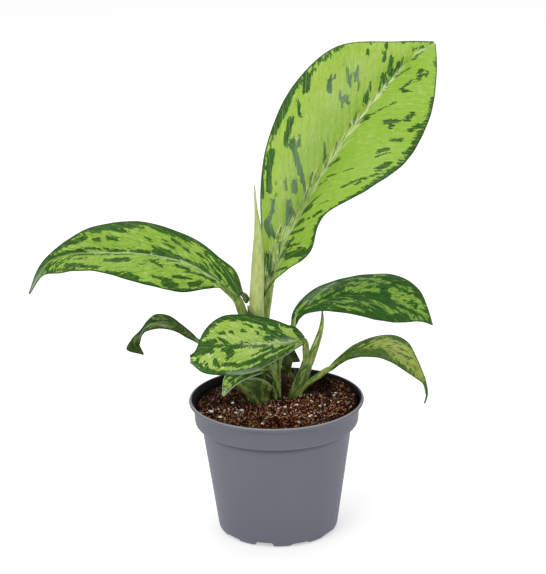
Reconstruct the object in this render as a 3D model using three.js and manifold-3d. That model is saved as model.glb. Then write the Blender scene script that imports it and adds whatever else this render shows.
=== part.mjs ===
// A young potted dieffenbachia: a main shoot and a side shoot in a 12 cm nursery pot.
// Millimetres, +Z up. The origin is the centre of the pot's foot, and the viewer stands at -Y.

import * as THREE from 'three';
import { mergeVertices } from 'three/addons/utils/BufferGeometryUtils.js';
import Module from 'manifold-3d';

// ---- driving dimensions -------------------------------------------------------------------------

const GAP = 0.3;                  // clearance between pieces that touch
const PETIOLE_CLEAR = 0.6;        // clearance round a petiole, whose facets differ from its hole's
const BLADE_THICKNESS = 0.8;
const BLADE_ARCH = 0.08;          // how far a half blade bulges, as a share of its width
const RIB_STEPS = 2;              // blade rows from one rib to the next
const HALF_COLUMNS = 3;           // blade columns in each half
const STEM_SIDES = 8;
const PETIOLE_SIDES = 6;
const STALK_ROW = 10;             // the length of one tube row
const STALK_ROWS_LEAST = 6;
const RIDGE_TIP_RADIUS = 0.45;    // the ridge under a midrib tapers to this
const RIDGE_SINK = 0.6;           // the ridge's centre lies this share of its radius under the blade

// The pot's section, as [radius, height]. The outside goes up from the foot, the inside comes down.
const POT_OUTSIDE = [
  [0, 0], [38.6, 0], [40.4, 0.6], [41.2, 2],
  [51.6, 76.4], [55.2, 76.9], [56, 78.4],
  [56.7, 90.2], [58.8, 90.9], [60, 92.2], [59.5, 93.5], [58.6, 94],
];
const POT_INSIDE = [
  [57.4, 93.2], [55.6, 90], [54.8, 80.6], [53.8, 79.2],
  [50.4, 78.4], [40, 4.6], [39, 3.4], [0, 3.4],
];
const POT_SEGMENTS = 40;
const CHANNEL_COUNT = 10;
const CHANNEL_HEIGHT = 2.2;
const CHANNEL_ANGLE = 18;         // degrees that one drainage channel spans
const CHANNEL_FIRST = -104;       // degrees: the direction of the first channel
const CHANNEL_START = 14;         // radius where the channels begin
const DRAIN_HOLE_RADIUS = 3;
const DRAIN_HOLE_CIRCLE = 32;

const SOIL_LEVEL = 85.5;          // mean height of the surface at the pot's axis
const SOIL_RISE_X = 3.2;          // the surface is this much higher at the right wall
const SOIL_RISE_Y = 2;            // and this much higher at the back wall
const SOIL_EDGE_RADIUS = 54;
const MOUND = { x: -3, y: 12, height: 2.6, spread: 24 };
const LUMP_HEIGHT = 0.7;
const SOIL_RINGS = [50, 42, 34, 26, 18, 10];
const SOIL_SEGMENTS = 40;
const CRUMB_COUNT = 44;
const CRUMB_SIZE = [1.2, 2.6];
const CRUMB_REACH = 49;

// Stems and rolled leaves, as spine points [x, y, z, radius].
const CANE_MAIN = [
  [-12.4, 13, 62, 7.4], [-12.8, 13, 84, 8.2], [-12.4, 13, 95, 8],
  [-12, 13, 108, 7.4], [-11.5, 13, 122, 6.7], [-11.4, 12.5, 134, 5.8],
];
const CANE_SIDE = [
  [9.8, 13, 64, 4], [11.2, 13, 86, 4], [13.9, 13, 93.5, 4.2],
  [17.2, 13, 101, 4.3], [20, 12.9, 108, 4.2], [21.6, 12.7, 114, 3.7],
];
const SPEAR_MAIN = [
  [-11.4, 12.4, 130, 4.8], [-11.8, 11, 140, 5.2], [-12.5, 9.2, 152, 5.1], [-12.3, 9, 164, 5],
  [-11.5, 9, 175, 4.9], [-11, 9, 187, 4.5], [-10.5, 9, 198, 3.9], [-10.4, 9, 208, 3.2],
  [-10.9, 9, 216, 2.4], [-11.4, 9, 225, 1.6], [-12.2, 9, 241, 0.5],
];
const SPEAR_SIDE = [
  [20.8, 13, 109, 2.6], [23.2, 13.3, 114, 3], [25.4, 13.6, 120, 2.9], [28.2, 14.1, 127.5, 2.5],
  [31, 14.7, 136, 1.9], [32.2, 15.5, 143.5, 1.2], [32.3, 16, 150, 0.5],
];

// Leaves. A blade is drawn by ribs across its midrib, from base to tip. Each rib is
//   [x, y, z, left width, left lift, right width, right lift]
// where x, y, z is the midrib and a half's lift, in degrees, is how far it turns up towards `face`.
// Left and right are as seen on the upper side, looking towards the tip.
const LEAVES = {
  leaf_upright: {
    colour: '#86a63f',
    face: [-0.15, -1, 0.35],
    stalk: [
      [-11, 13.6, 118, 4], [-9.6, 14.8, 130, 4.2], [-8, 16.2, 142, 3.9], [-6.8, 17.4, 150, 3.6],
    ],
    stalkEnd: 3.4,
    ribs: [
      [-5.5, 17, 157.5, 1.8, 30, 4, 125],
      [-2.5, 18.5, 171, 5.6, 30, 3.4, 90],
      [2.5, 20, 183.5, 10.2, 20, 12.5, 60],
      [8, 23, 200, 18.5, 15, 28.5, 45],
      [21, 28, 219.5, 35.6, 25, 36.5, 60],
      [34, 37, 241.5, 44.5, 20, 47.5, 48],
      [53, 49, 267, 50.2, 20, 48.5, 25],
      [77, 64, 293.5, 42.4, 15, 40, 15],
      [97, 75, 312.5, 15, 10, 25, 30],
      [112.5, 82, 320.5, 1.5, 15, 3, 30],
    ],
  },
  leaf_left_large: {
    colour: '#5f8a38',
    face: [-0.2, -0.6, 0.8],
    stalk: [
      [-13.2, 12.6, 110, 2.6], [-16.4, 11.8, 123, 3], [-17.6, 11, 133, 2.8],
      [-19.6, 10, 143, 2.7], [-22.4, 9, 153, 2.6],
    ],
    stalkEnd: 2.5,
    ribs: [
      [-25.5, 8, 162.5, 2, -15, 5.8, 35],
      [-34, 6, 172, 2, -15, 12.8, 25],
      [-42.5, 4, 179.5, 9.5, -15, 14.5, 15],
      [-59.5, 0, 191, 22, -10, 19, 15],
      [-87.5, -8, 200, 25.5, 0, 23.5, 15],
      [-117, -16, 203.5, 19, 10, 19, 20],
      [-134, -20, 204.5, 18, 10, 10, 20],
      [-147, -24, 201, 15, 10, 4, 15],
      [-154, -26, 193, 3, 0, 3, 15],
      [-161.5, -28, 180, 0.6, -10, 0.6, 15],
    ],
  },
  leaf_left_small: {
    colour: '#3f6434',
    face: [-0.5, -0.6, 0.6],
    stalk: [
      [-14, 13, 100, 2.2], [-17.9, 13.4, 105.2, 2.3], [-21.5, 15, 110.5, 2.2], [-29, 17, 114.5, 2],
      [-37, 19, 119, 1.9], [-45.5, 21, 123.5, 1.8],
    ],
    stalkEnd: 1.7,
    ribs: [
      [-53.5, 22, 127.5, 1.5, 30, 1, 25],
      [-59, 24, 130.5, 2.5, 30, 3, 25],
      [-66.5, 27, 135.5, 4, 30, 3.5, 25],
      [-74, 30, 139, 8, 35, 4.5, 25],
      [-82, 33, 138.5, 11, 35, 5, 20],
      [-87.5, 35, 135.5, 12.5, 40, 3, 25],
      [-92.5, 37, 129.5, 11, 35, 2, 35],
      [-96.5, 37, 123, 9, 30, 4, 50],
      [-97, 35, 117.5, 5.5, 30, 13.5, 86],
      [-92, 32, 114.5, 0.8, 25, 0.8, 60],
    ],
  },
  leaf_low_front: {
    colour: '#7ea35c',
    face: [-0.3, -0.8, 0.5],
    stalk: [
      [-11, 12, 101, 1.8], [-9, 7.5, 107, 1.9], [-6, 3.5, 112, 1.7],
    ],
    stalkEnd: 1.5,
    ribs: [
      [-5.5, 0, 115, 2.5, -40, 4.5, -10],
      [-14, -7, 115.5, 3, -15, 8, 5],
      [-23, -13, 115, 4, 0, 8.5, 10],
      [-30.5, -17, 111, 4, 10, 6, 10],
      [-36, -19, 102.5, 0.8, 10, 0.8, 10],
    ],
  },
  leaf_low_back: {
    colour: '#3c5a2f',
    face: [0.1, -0.9, 0.3],
    stalk: [
      [-9.5, 15, 108, 1.4], [-5.5, 19, 115.5, 1.4], [-1, 20.6, 122, 1.3],
    ],
    stalkEnd: 1.2,
    ribs: [
      [2.5, 21.5, 126.5, 1.5, 0, 1.5, 0],
      [5.8, 22.6, 125.5, 3.6, 10, 5.5, 5],
      [8.9, 23.5, 120.4, 3.2, 20, 8, 10],
      [12.3, 24.3, 115.4, 2.4, 25, 7, 15],
      [16.5, 25, 110.2, 0.6, 10, 0.6, 10],
    ],
  },
  leaf_right_upper: {
    colour: '#48703a',
    face: [0.1, -0.5, 0.85],
    stalk: [
      [0, 13.2, 66, 2.5], [0.4, 13, 86, 2.8], [0.5, 13, 99, 2.8], [0.4, 13, 107, 2.7],
      [2.2, 13.5, 116, 2.5], [5, 14, 124.5, 2.3], [8.7, 14, 133, 2.1],
    ],
    stalkEnd: 1.9,
    ribs: [
      [12.5, 14, 141, 2, -5, 2, 10],
      [14.5, 15, 147, 3.5, -5, 4, 15],
      [20, 17, 152, 6.5, -5, 7, 15],
      [31, 20, 156, 12, -5, 13, 15],
      [48, 25, 157.5, 18, -10, 20, 10],
      [65.5, 30, 155, 22, -5, 22.5, 5],
      [83, 34, 149, 24, 5, 19.5, 5],
      [97, 37, 141.5, 20.5, 5, 11, 10],
      [104, 38, 137, 9.5, 0, 6, 10],
      [109.5, 39, 130.5, 0.6, -5, 0.6, 10],
    ],
  },
  leaf_front: {
    colour: '#6f9a3c',
    face: [-0.1, -0.9, 0.45],
    stalk: [
      [19.8, 12.7, 108, 2.4], [20.9, 12.3, 116, 2.5], [20.7, 12, 123, 2.4], [20.5, 11.4, 128, 2.2],
    ],
    stalkEnd: 2,
    ribs: [
      [19.5, 10, 131, 2.5, -15, 3, 40],
      [13.5, 6, 131.5, 5, -10, 10, 30],
      [6.5, 0, 133, 8.5, -10, 12.5, 25],
      [-2.5, -8, 136, 13, -10, 16, 15],
      [-16, -20, 139, 18, -5, 20.5, 0],
      [-30, -32, 143.5, 20, -5, 20.5, -10],
      [-42.5, -42, 146, 19, -15, 12, 0],
      [-51.5, -49, 144.5, 14.5, -30, 3, 10],
      [-55.5, -51, 143, 4, -60, 0.6, 15],
    ],
  },
  leaf_right_lower: {
    colour: '#557e3a',
    face: [0.2, -0.5, 0.85],
    stalk: [
      [12.2, 12.7, 86, 2.6], [14.6, 12.3, 91, 2.6], [18.4, 12, 96, 2.4],
      [23.6, 11.4, 100.4, 2.1], [29.6, 10.5, 105, 2], [34, 9.4, 108.8, 2],
    ],
    stalkEnd: 1.9,
    ribs: [
      [37.5, 8, 111.5, 2, 0, 2, 0],
      [44, 6, 117.5, 4, -5, 3.5, 10],
      [52, 3, 124, 7, -10, 7, 15],
      [62.5, 0, 128.5, 11, -10, 11.5, 15],
      [74, -4, 130, 14, -5, 15, 15],
      [83, -8, 127.5, 12.5, 0, 15, 15],
      [90.5, -12, 122, 7.5, -5, 12, 15],
      [96, -15, 114.5, 4.5, -5, 6, 15],
      [100, -17, 108.5, 1.7, -5, 1.5, 10],
      [101.5, -18, 101, 0.8, -5, 0.8, 10],
      [100, -18, 94.5, 0.5, -5, 0.5, 10],
    ],
  },
};

// Where the stems meet the surface of the soil, as [x, y, radius].
const STEM_FEET = [
  CANE_MAIN[1], CANE_SIDE[1], LEAVES.leaf_right_upper.stalk[1], LEAVES.leaf_right_lower.stalk[0],
].map(([x, y, , radius]) => [x, y, radius]);

const COLOURS = {
  pot: '#6f717c',
  soil: '#4a2f22',
  cane_main: '#5f7a38',
  cane_side: '#7b8f4c',
  spear_main: '#a3b565',
  spear_side: '#8a9d4b',
};

// ---- solids -------------------------------------------------------------------------------------

const wasm = await Module();
wasm.setup();

function toSolid(geometry) {
  geometry.deleteAttribute('normal');
  geometry.deleteAttribute('uv');
  const merged = mergeVertices(geometry, 1e-4);
  return new wasm.Manifold(new wasm.Mesh({
    numProp: 3,
    vertProperties: new Float32Array(merged.attributes.position.array),
    triVerts: new Uint32Array(merged.index.array),
  }));
}

function toGeometry(solid) {
  const mesh = solid.getMesh();
  const geometry = new THREE.BufferGeometry();
  geometry.setAttribute('position', new THREE.BufferAttribute(mesh.vertProperties, 3));
  geometry.setIndex(new THREE.BufferAttribute(mesh.triVerts, 1));
  geometry.computeVertexNormals();
  return geometry;
}

function subtractAll(solid, cutters) {
  return cutters.reduce((rest, cutter) => rest.subtract(cutter), solid);
}

function curveThrough(points) {
  return new THREE.CatmullRomCurve3(points, false, 'catmullrom', 0.5);
}

// ---- stalks: closed cylinders bent along a spine ------------------------------------------------

function stalkSolid(spine, sides, grow = 0) {
  const points = spine.map(([x, y, z]) => new THREE.Vector3(x, y, z));
  if (grow > 0) {
    const last = points.length - 1;
    const startwards = points[0].clone().sub(points[1]).setLength(grow);
    const endwards = points[last].clone().sub(points[last - 1]).setLength(grow);
    points[0].add(startwards);
    points[last].add(endwards);
  }
  const curve = curveThrough(points);
  const steps = Math.max(Math.round(curve.getLength() / STALK_ROW), STALK_ROWS_LEAST);
  const frames = curve.computeFrenetFrames(steps, false);
  const tube = new THREE.CylinderGeometry(1, 1, 1, sides, steps);
  const position = tube.attributes.position;
  const vertex = new THREE.Vector3();
  for (let i = 0; i < position.count; i += 1) {
    vertex.fromBufferAttribute(position, i);
    const along = THREE.MathUtils.clamp(vertex.y + 0.5, 0, 1);
    const row = Math.round(along * steps);
    const place = curve.getUtoTmapping(along) * (spine.length - 1);
    const before = Math.min(Math.floor(place), spine.length - 2);
    const radius = grow + THREE.MathUtils.lerp(spine[before][3], spine[before + 1][3], place - before);
    const centre = curve.getPointAt(along);
    centre.addScaledVector(frames.normals[row], -vertex.x * radius);
    centre.addScaledVector(frames.binormals[row], vertex.z * radius);
    position.setXYZ(i, centre.x, centre.y, centre.z);
  }
  return toSolid(tube);
}

// ---- blades: thin waved sheets drawn by their ribs ----------------------------------------------

function leafCurves(leaf) {
  const face = new THREE.Vector3(...leaf.face);
  const middle = curveThrough(leaf.ribs.map(([x, y, z]) => new THREE.Vector3(x, y, z)));
  const last = leaf.ribs.length - 1;
  const left = [];
  const right = [];
  const up = [];
  leaf.ribs.forEach(([x, y, z, leftWidth, leftLift, rightWidth, rightLift], index) => {
    const tangent = middle.getTangent(index / last);
    const normal = face.clone().addScaledVector(tangent, -face.dot(tangent)).normalize();
    const sideways = normal.clone().cross(tangent);
    const margin = (width, lift, side) => {
      const angle = THREE.MathUtils.degToRad(lift);
      return new THREE.Vector3(x, y, z)
        .addScaledVector(sideways, side * width * Math.cos(angle))
        .addScaledVector(normal, width * Math.sin(angle));
    };
    left.push(margin(leftWidth, leftLift, 1));
    right.push(margin(rightWidth, rightLift, -1));
    up.push(normal);
  });
  return { middle, left: curveThrough(left), right: curveThrough(right), up };
}

// A point of the blade: `along` runs 0 to 1 from base to tip, `side` from -1, right margin, to 1, left.
function bladePoint(curves, along, side) {
  const centre = curves.middle.getPoint(along);
  const share = Math.abs(side);
  if (share === 0) {
    return centre;
  }
  const margin = (side > 0 ? curves.left : curves.right).getPoint(along);
  const half = margin.sub(centre);
  const width = half.length();
  const bulge = curves.middle.getTangent(along).cross(half).setLength(1);
  const height = 4 * share * (1 - share) * BLADE_ARCH * width;
  return centre
    .addScaledVector(half, share)
    .addScaledVector(bulge, Math.sign(side) * height);
}

// The vertices on the border of a grid, in order round it.
function borderOfGrid(rows, columns) {
  const stride = columns + 1;
  const edge = [];
  for (let column = 0; column < columns; column += 1) {
    edge.push(column);
  }
  for (let row = 0; row < rows; row += 1) {
    edge.push(row * stride + columns);
  }
  for (let column = columns; column > 0; column -= 1) {
    edge.push(rows * stride + column);
  }
  for (let row = rows; row > 0; row -= 1) {
    edge.push(row * stride);
  }
  return edge;
}

// A sheet of even thickness. Both skins are split into triangles alike.
function sheetSolid(surfacePoint, rows, columns, thickness) {
  const sheet = new THREE.PlaneGeometry(1, 1, columns, rows);
  const position = sheet.attributes.position;
  for (let i = 0; i < position.count; i += 1) {
    const point = surfacePoint(0.5 - position.getY(i), 2 * position.getX(i));
    position.setXYZ(i, point.x, point.y, point.z);
  }
  sheet.computeVertexNormals();
  const count = position.count;
  const skins = new Float32Array(count * 6);
  const point = new THREE.Vector3();
  const normal = new THREE.Vector3();
  for (let i = 0; i < count; i += 1) {
    normal.fromBufferAttribute(sheet.attributes.normal, i);
    point.fromBufferAttribute(position, i).addScaledVector(normal, thickness / 2).toArray(skins, i * 3);
    point.addScaledVector(normal, -thickness).toArray(skins, (i + count) * 3);
  }
  const faces = [];
  const index = sheet.index.array;
  for (let i = 0; i < index.length; i += 3) {
    faces.push(index[i], index[i + 1], index[i + 2]);
    faces.push(index[i] + count, index[i + 2] + count, index[i + 1] + count);
  }
  const edge = borderOfGrid(rows, columns);
  edge.forEach((here, i) => {
    const next = edge[(i + 1) % edge.length];
    faces.push(here, next, next + count);
    faces.push(here, next + count, here + count);
  });
  const geometry = new THREE.BufferGeometry();
  geometry.setAttribute('position', new THREE.BufferAttribute(skins, 3));
  geometry.setIndex(faces);
  return toSolid(geometry);
}

function leafSpine(leaf, curves) {
  const last = leaf.ribs.length - 1;
  const ridge = leaf.ribs.map(([x, y, z], index) => {
    const radius = THREE.MathUtils.lerp(leaf.stalkEnd, RIDGE_TIP_RADIUS, Math.sqrt(index / last));
    const centre = new THREE.Vector3(x, y, z).addScaledVector(curves.up[index], -RIDGE_SINK * radius);
    return [centre.x, centre.y, centre.z, radius];
  });
  return [...leaf.stalk, ...ridge.slice(0, last)];
}

function leafSolid(leaf, neighbours) {
  const curves = leafCurves(leaf);
  const rows = (leaf.ribs.length - 1) * RIB_STEPS;
  const blade = sheetSolid(
    (along, side) => bladePoint(curves, along, side),
    rows,
    2 * HALF_COLUMNS,
    BLADE_THICKNESS,
  );
  const stalk = stalkSolid(leafSpine(leaf, curves), PETIOLE_SIDES);
  return subtractAll(blade.add(stalk), neighbours);
}

// ---- pot ----------------------------------------------------------------------------------------

function turned(profile, segments) {
  const points = profile.map(([radius, height]) => new THREE.Vector2(radius, height));
  return new THREE.LatheGeometry(points, segments).rotateX(Math.PI / 2);
}

function channelSolid(direction) {
  const halfAngle = THREE.MathUtils.degToRad(CHANNEL_ANGLE / 2);
  const reach = POT_OUTSIDE[3][0] + 2;
  const sector = new THREE.Shape();
  sector.absarc(0, 0, reach, direction - halfAngle, direction + halfAngle, false);
  sector.lineTo(
    CHANNEL_START * Math.cos(direction + halfAngle),
    CHANNEL_START * Math.sin(direction + halfAngle),
  );
  sector.lineTo(
    CHANNEL_START * Math.cos(direction - halfAngle),
    CHANNEL_START * Math.sin(direction - halfAngle),
  );
  sector.closePath();
  const below = 1;
  const sectorSolid = new THREE.ExtrudeGeometry(sector, {
    depth: CHANNEL_HEIGHT + below,
    bevelEnabled: false,
    curveSegments: 3,
  });
  return toSolid(sectorSolid.translate(0, 0, -below));
}

function drainHoleSolid(direction) {
  const hole = new THREE.CylinderGeometry(DRAIN_HOLE_RADIUS, DRAIN_HOLE_RADIUS, 12, 10);
  hole.rotateX(Math.PI / 2);
  hole.translate(DRAIN_HOLE_CIRCLE * Math.cos(direction), DRAIN_HOLE_CIRCLE * Math.sin(direction), 0);
  return toSolid(hole);
}

function potSolid() {
  const cutters = [];
  for (let i = 0; i < CHANNEL_COUNT; i += 1) {
    const direction = THREE.MathUtils.degToRad(CHANNEL_FIRST + i * 360 / CHANNEL_COUNT);
    cutters.push(channelSolid(direction));
    cutters.push(drainHoleSolid(direction));
  }
  return subtractAll(toSolid(turned([...POT_OUTSIDE, ...POT_INSIDE], POT_SEGMENTS)), cutters);
}

// ---- soil ---------------------------------------------------------------------------------------

// A repeatable random draw from 0 to 1.
function seededRandom(seed) {
  let state = seed;
  return () => {
    state = (state * 1664525 + 1013904223) % 4294967296;
    return state / 4294967296;
  };
}

function soilHeight(x, y) {
  const slope = (SOIL_RISE_X * x + SOIL_RISE_Y * y) / SOIL_EDGE_RADIUS;
  const fromMound = ((x - MOUND.x) ** 2 + (y - MOUND.y) ** 2) / MOUND.spread ** 2;
  const lumps = Math.sin(0.21 * x + 1.3) * Math.sin(0.17 * y + 0.4) + 0.6 * Math.sin(0.13 * x - 0.11 * y);
  return SOIL_LEVEL + slope + MOUND.height * Math.exp(-fromMound) + LUMP_HEIGHT * lumps;
}

// The radius of the pot's inside at a height above its step.
function bandInsideRadius(height) {
  const [topRadius, topHeight] = POT_INSIDE[1];
  const [lowRadius, lowHeight] = POT_INSIDE[2];
  return THREE.MathUtils.mapLinear(height, lowHeight, topHeight, lowRadius, topRadius);
}

function soilBody() {
  const surface = 100;            // marks the vertices that the surface's own formula then lowers
  const inside = POT_INSIDE.slice(2).reverse();
  const profile = inside.map(([radius, height], i) => {
    const isFloor = i < 2;
    return [Math.max(radius - GAP, 0), height + (isFloor ? GAP : 0)];
  });
  const rings = [SOIL_EDGE_RADIUS, ...SOIL_RINGS, 0].map((radius) => [radius, surface]);
  const body = turned([...profile, ...rings], SOIL_SEGMENTS);
  const position = body.attributes.position;
  for (let i = 0; i < position.count; i += 1) {
    if (position.getZ(i) > surface - 1) {
      const x = position.getX(i);
      const y = position.getY(i);
      const height = soilHeight(x, y);
      const radius = Math.hypot(x, y);
      const isEdge = radius > SOIL_EDGE_RADIUS - 1;
      const stretch = isEdge ? (bandInsideRadius(height) - GAP) / radius : 1;
      position.setXYZ(i, x * stretch, y * stretch, height);
    }
  }
  return toSolid(body);
}

function soilSolid(stems) {
  const random = seededRandom(7);
  let soil = soilBody();
  for (let i = 0; i < CRUMB_COUNT; i += 1) {
    const angle = 2 * Math.PI * random();
    const reach = CRUMB_REACH * Math.sqrt(random());
    const size = THREE.MathUtils.lerp(CRUMB_SIZE[0], CRUMB_SIZE[1], random() ** 2);
    const x = reach * Math.cos(angle);
    const y = reach * Math.sin(angle);
    const isAtStem = STEM_FEET.some(([stemX, stemY, radius]) => (
      Math.hypot(x - stemX, y - stemY) < radius + CRUMB_SIZE[1] + GAP
    ));
    if (isAtStem) {
      continue;
    }
    const crumb = new THREE.OctahedronGeometry(size, 0);
    crumb.scale(1, 0.8, 0.7);
    crumb.rotateX(random());
    crumb.rotateZ(2 * Math.PI * random());
    crumb.translate(x, y, soilHeight(x, y));
    soil = soil.add(toSolid(crumb));
  }
  return subtractAll(soil, stems);
}

// ---- the plant ----------------------------------------------------------------------------------

const plant = new THREE.Group();

function addNode(name, solid, colour, roughness) {
  const material = new THREE.MeshStandardMaterial({ color: colour, roughness, metalness: 0 });
  const mesh = new THREE.Mesh(toGeometry(solid), material);
  mesh.name = name;
  plant.add(mesh);
}

const clearOfCaneMain = stalkSolid(CANE_MAIN, STEM_SIDES, GAP);
const clearOfCaneSide = stalkSolid(CANE_SIDE, STEM_SIDES, GAP);
const clearOfSpearMain = stalkSolid(SPEAR_MAIN, STEM_SIDES, GAP);
const clearOfSpearSide = stalkSolid(SPEAR_SIDE, STEM_SIDES, GAP);
const clearOfStems = [clearOfCaneMain, clearOfCaneSide, clearOfSpearMain, clearOfSpearSide];

// Stems that stand in the soil, and the two petioles that leave it beside them.
const stemsInSoil = [
  clearOfCaneMain,
  clearOfCaneSide,
  stalkSolid(LEAVES.leaf_right_upper.stalk, PETIOLE_SIDES, PETIOLE_CLEAR),
  stalkSolid(LEAVES.leaf_right_lower.stalk, PETIOLE_SIDES, PETIOLE_CLEAR),
];

addNode('pot', potSolid(), COLOURS.pot, 0.5);
addNode('soil', soilSolid(stemsInSoil), COLOURS.soil, 1);
addNode('cane_main', stalkSolid(CANE_MAIN, STEM_SIDES), COLOURS.cane_main, 0.5);
addNode('cane_side', stalkSolid(CANE_SIDE, STEM_SIDES), COLOURS.cane_side, 0.5);
const spearMain = stalkSolid(SPEAR_MAIN, STEM_SIDES).subtract(clearOfCaneMain);
addNode('spear_main', spearMain, COLOURS.spear_main, 0.45);
const spearSide = stalkSolid(SPEAR_SIDE, STEM_SIDES).subtract(clearOfCaneSide);
addNode('spear_side', spearSide, COLOURS.spear_side, 0.45);
for (const [name, leaf] of Object.entries(LEAVES)) {
  addNode(name, leafSolid(leaf, clearOfStems), leaf.colour, 0.4);
}

export default plant;
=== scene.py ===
# Looks for a young potted dieffenbachia. The viewer stands at -Y, and the pot's foot is centred on the
# origin. Sizes are written in millimetres and turned into metres by MM.

import math
import random

import bmesh
import bpy
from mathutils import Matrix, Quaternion, Vector, noise


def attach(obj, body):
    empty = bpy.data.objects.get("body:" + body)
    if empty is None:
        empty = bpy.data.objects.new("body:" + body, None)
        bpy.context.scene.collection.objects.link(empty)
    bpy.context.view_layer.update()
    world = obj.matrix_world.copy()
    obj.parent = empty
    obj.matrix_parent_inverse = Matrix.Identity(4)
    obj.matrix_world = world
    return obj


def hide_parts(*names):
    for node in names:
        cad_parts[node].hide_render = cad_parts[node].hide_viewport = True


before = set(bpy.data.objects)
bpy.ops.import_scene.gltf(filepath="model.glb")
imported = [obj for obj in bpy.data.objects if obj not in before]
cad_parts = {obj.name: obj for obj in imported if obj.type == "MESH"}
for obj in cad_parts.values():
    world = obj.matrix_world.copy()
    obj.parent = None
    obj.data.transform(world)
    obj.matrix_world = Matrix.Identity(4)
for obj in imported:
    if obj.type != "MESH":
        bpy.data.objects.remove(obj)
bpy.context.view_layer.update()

MM = 0.001
TURN = 2 * math.pi


# ---- the plant's lines, as in the solids ---------------------------------------------------------

# Stems and rolled leaves, as spine points (x, y, z, radius).
CANE_MAIN = [
    (-12.4, 13, 62, 7.4), (-12.8, 13, 84, 8.2), (-12.4, 13, 95, 8),
    (-12, 13, 108, 7.4), (-11.5, 13, 122, 6.7), (-11.4, 12.5, 134, 5.8),
]
CANE_SIDE = [
    (9.8, 13, 64, 4), (11.2, 13, 86, 4), (13.9, 13, 93.5, 4.2),
    (17.2, 13, 101, 4.3), (20, 12.9, 108, 4.2), (21.6, 12.7, 114, 3.7),
]
SPEAR_MAIN = [
    (-11.4, 12.4, 130, 4.8), (-11.8, 11, 140, 5.2), (-12.5, 9.2, 152, 5.1), (-12.3, 9, 164, 5),
    (-11.5, 9, 175, 4.9), (-11, 9, 187, 4.5), (-10.5, 9, 198, 3.9), (-10.4, 9, 208, 3),
    (-10.9, 9, 216, 2), (-11.6, 9, 225, 1.1), (-12.4, 9, 241, 0.4),
]
SPEAR_SIDE = [
    (20.8, 13, 109, 2.6), (23.2, 13.3, 114, 3), (25.4, 13.6, 120, 2.9), (28.2, 14.1, 127.5, 2.5),
    (31, 14.7, 136, 1.9), (32.2, 15.5, 143.5, 1.2), (32.3, 16, 150, 0.5),
]

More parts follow.
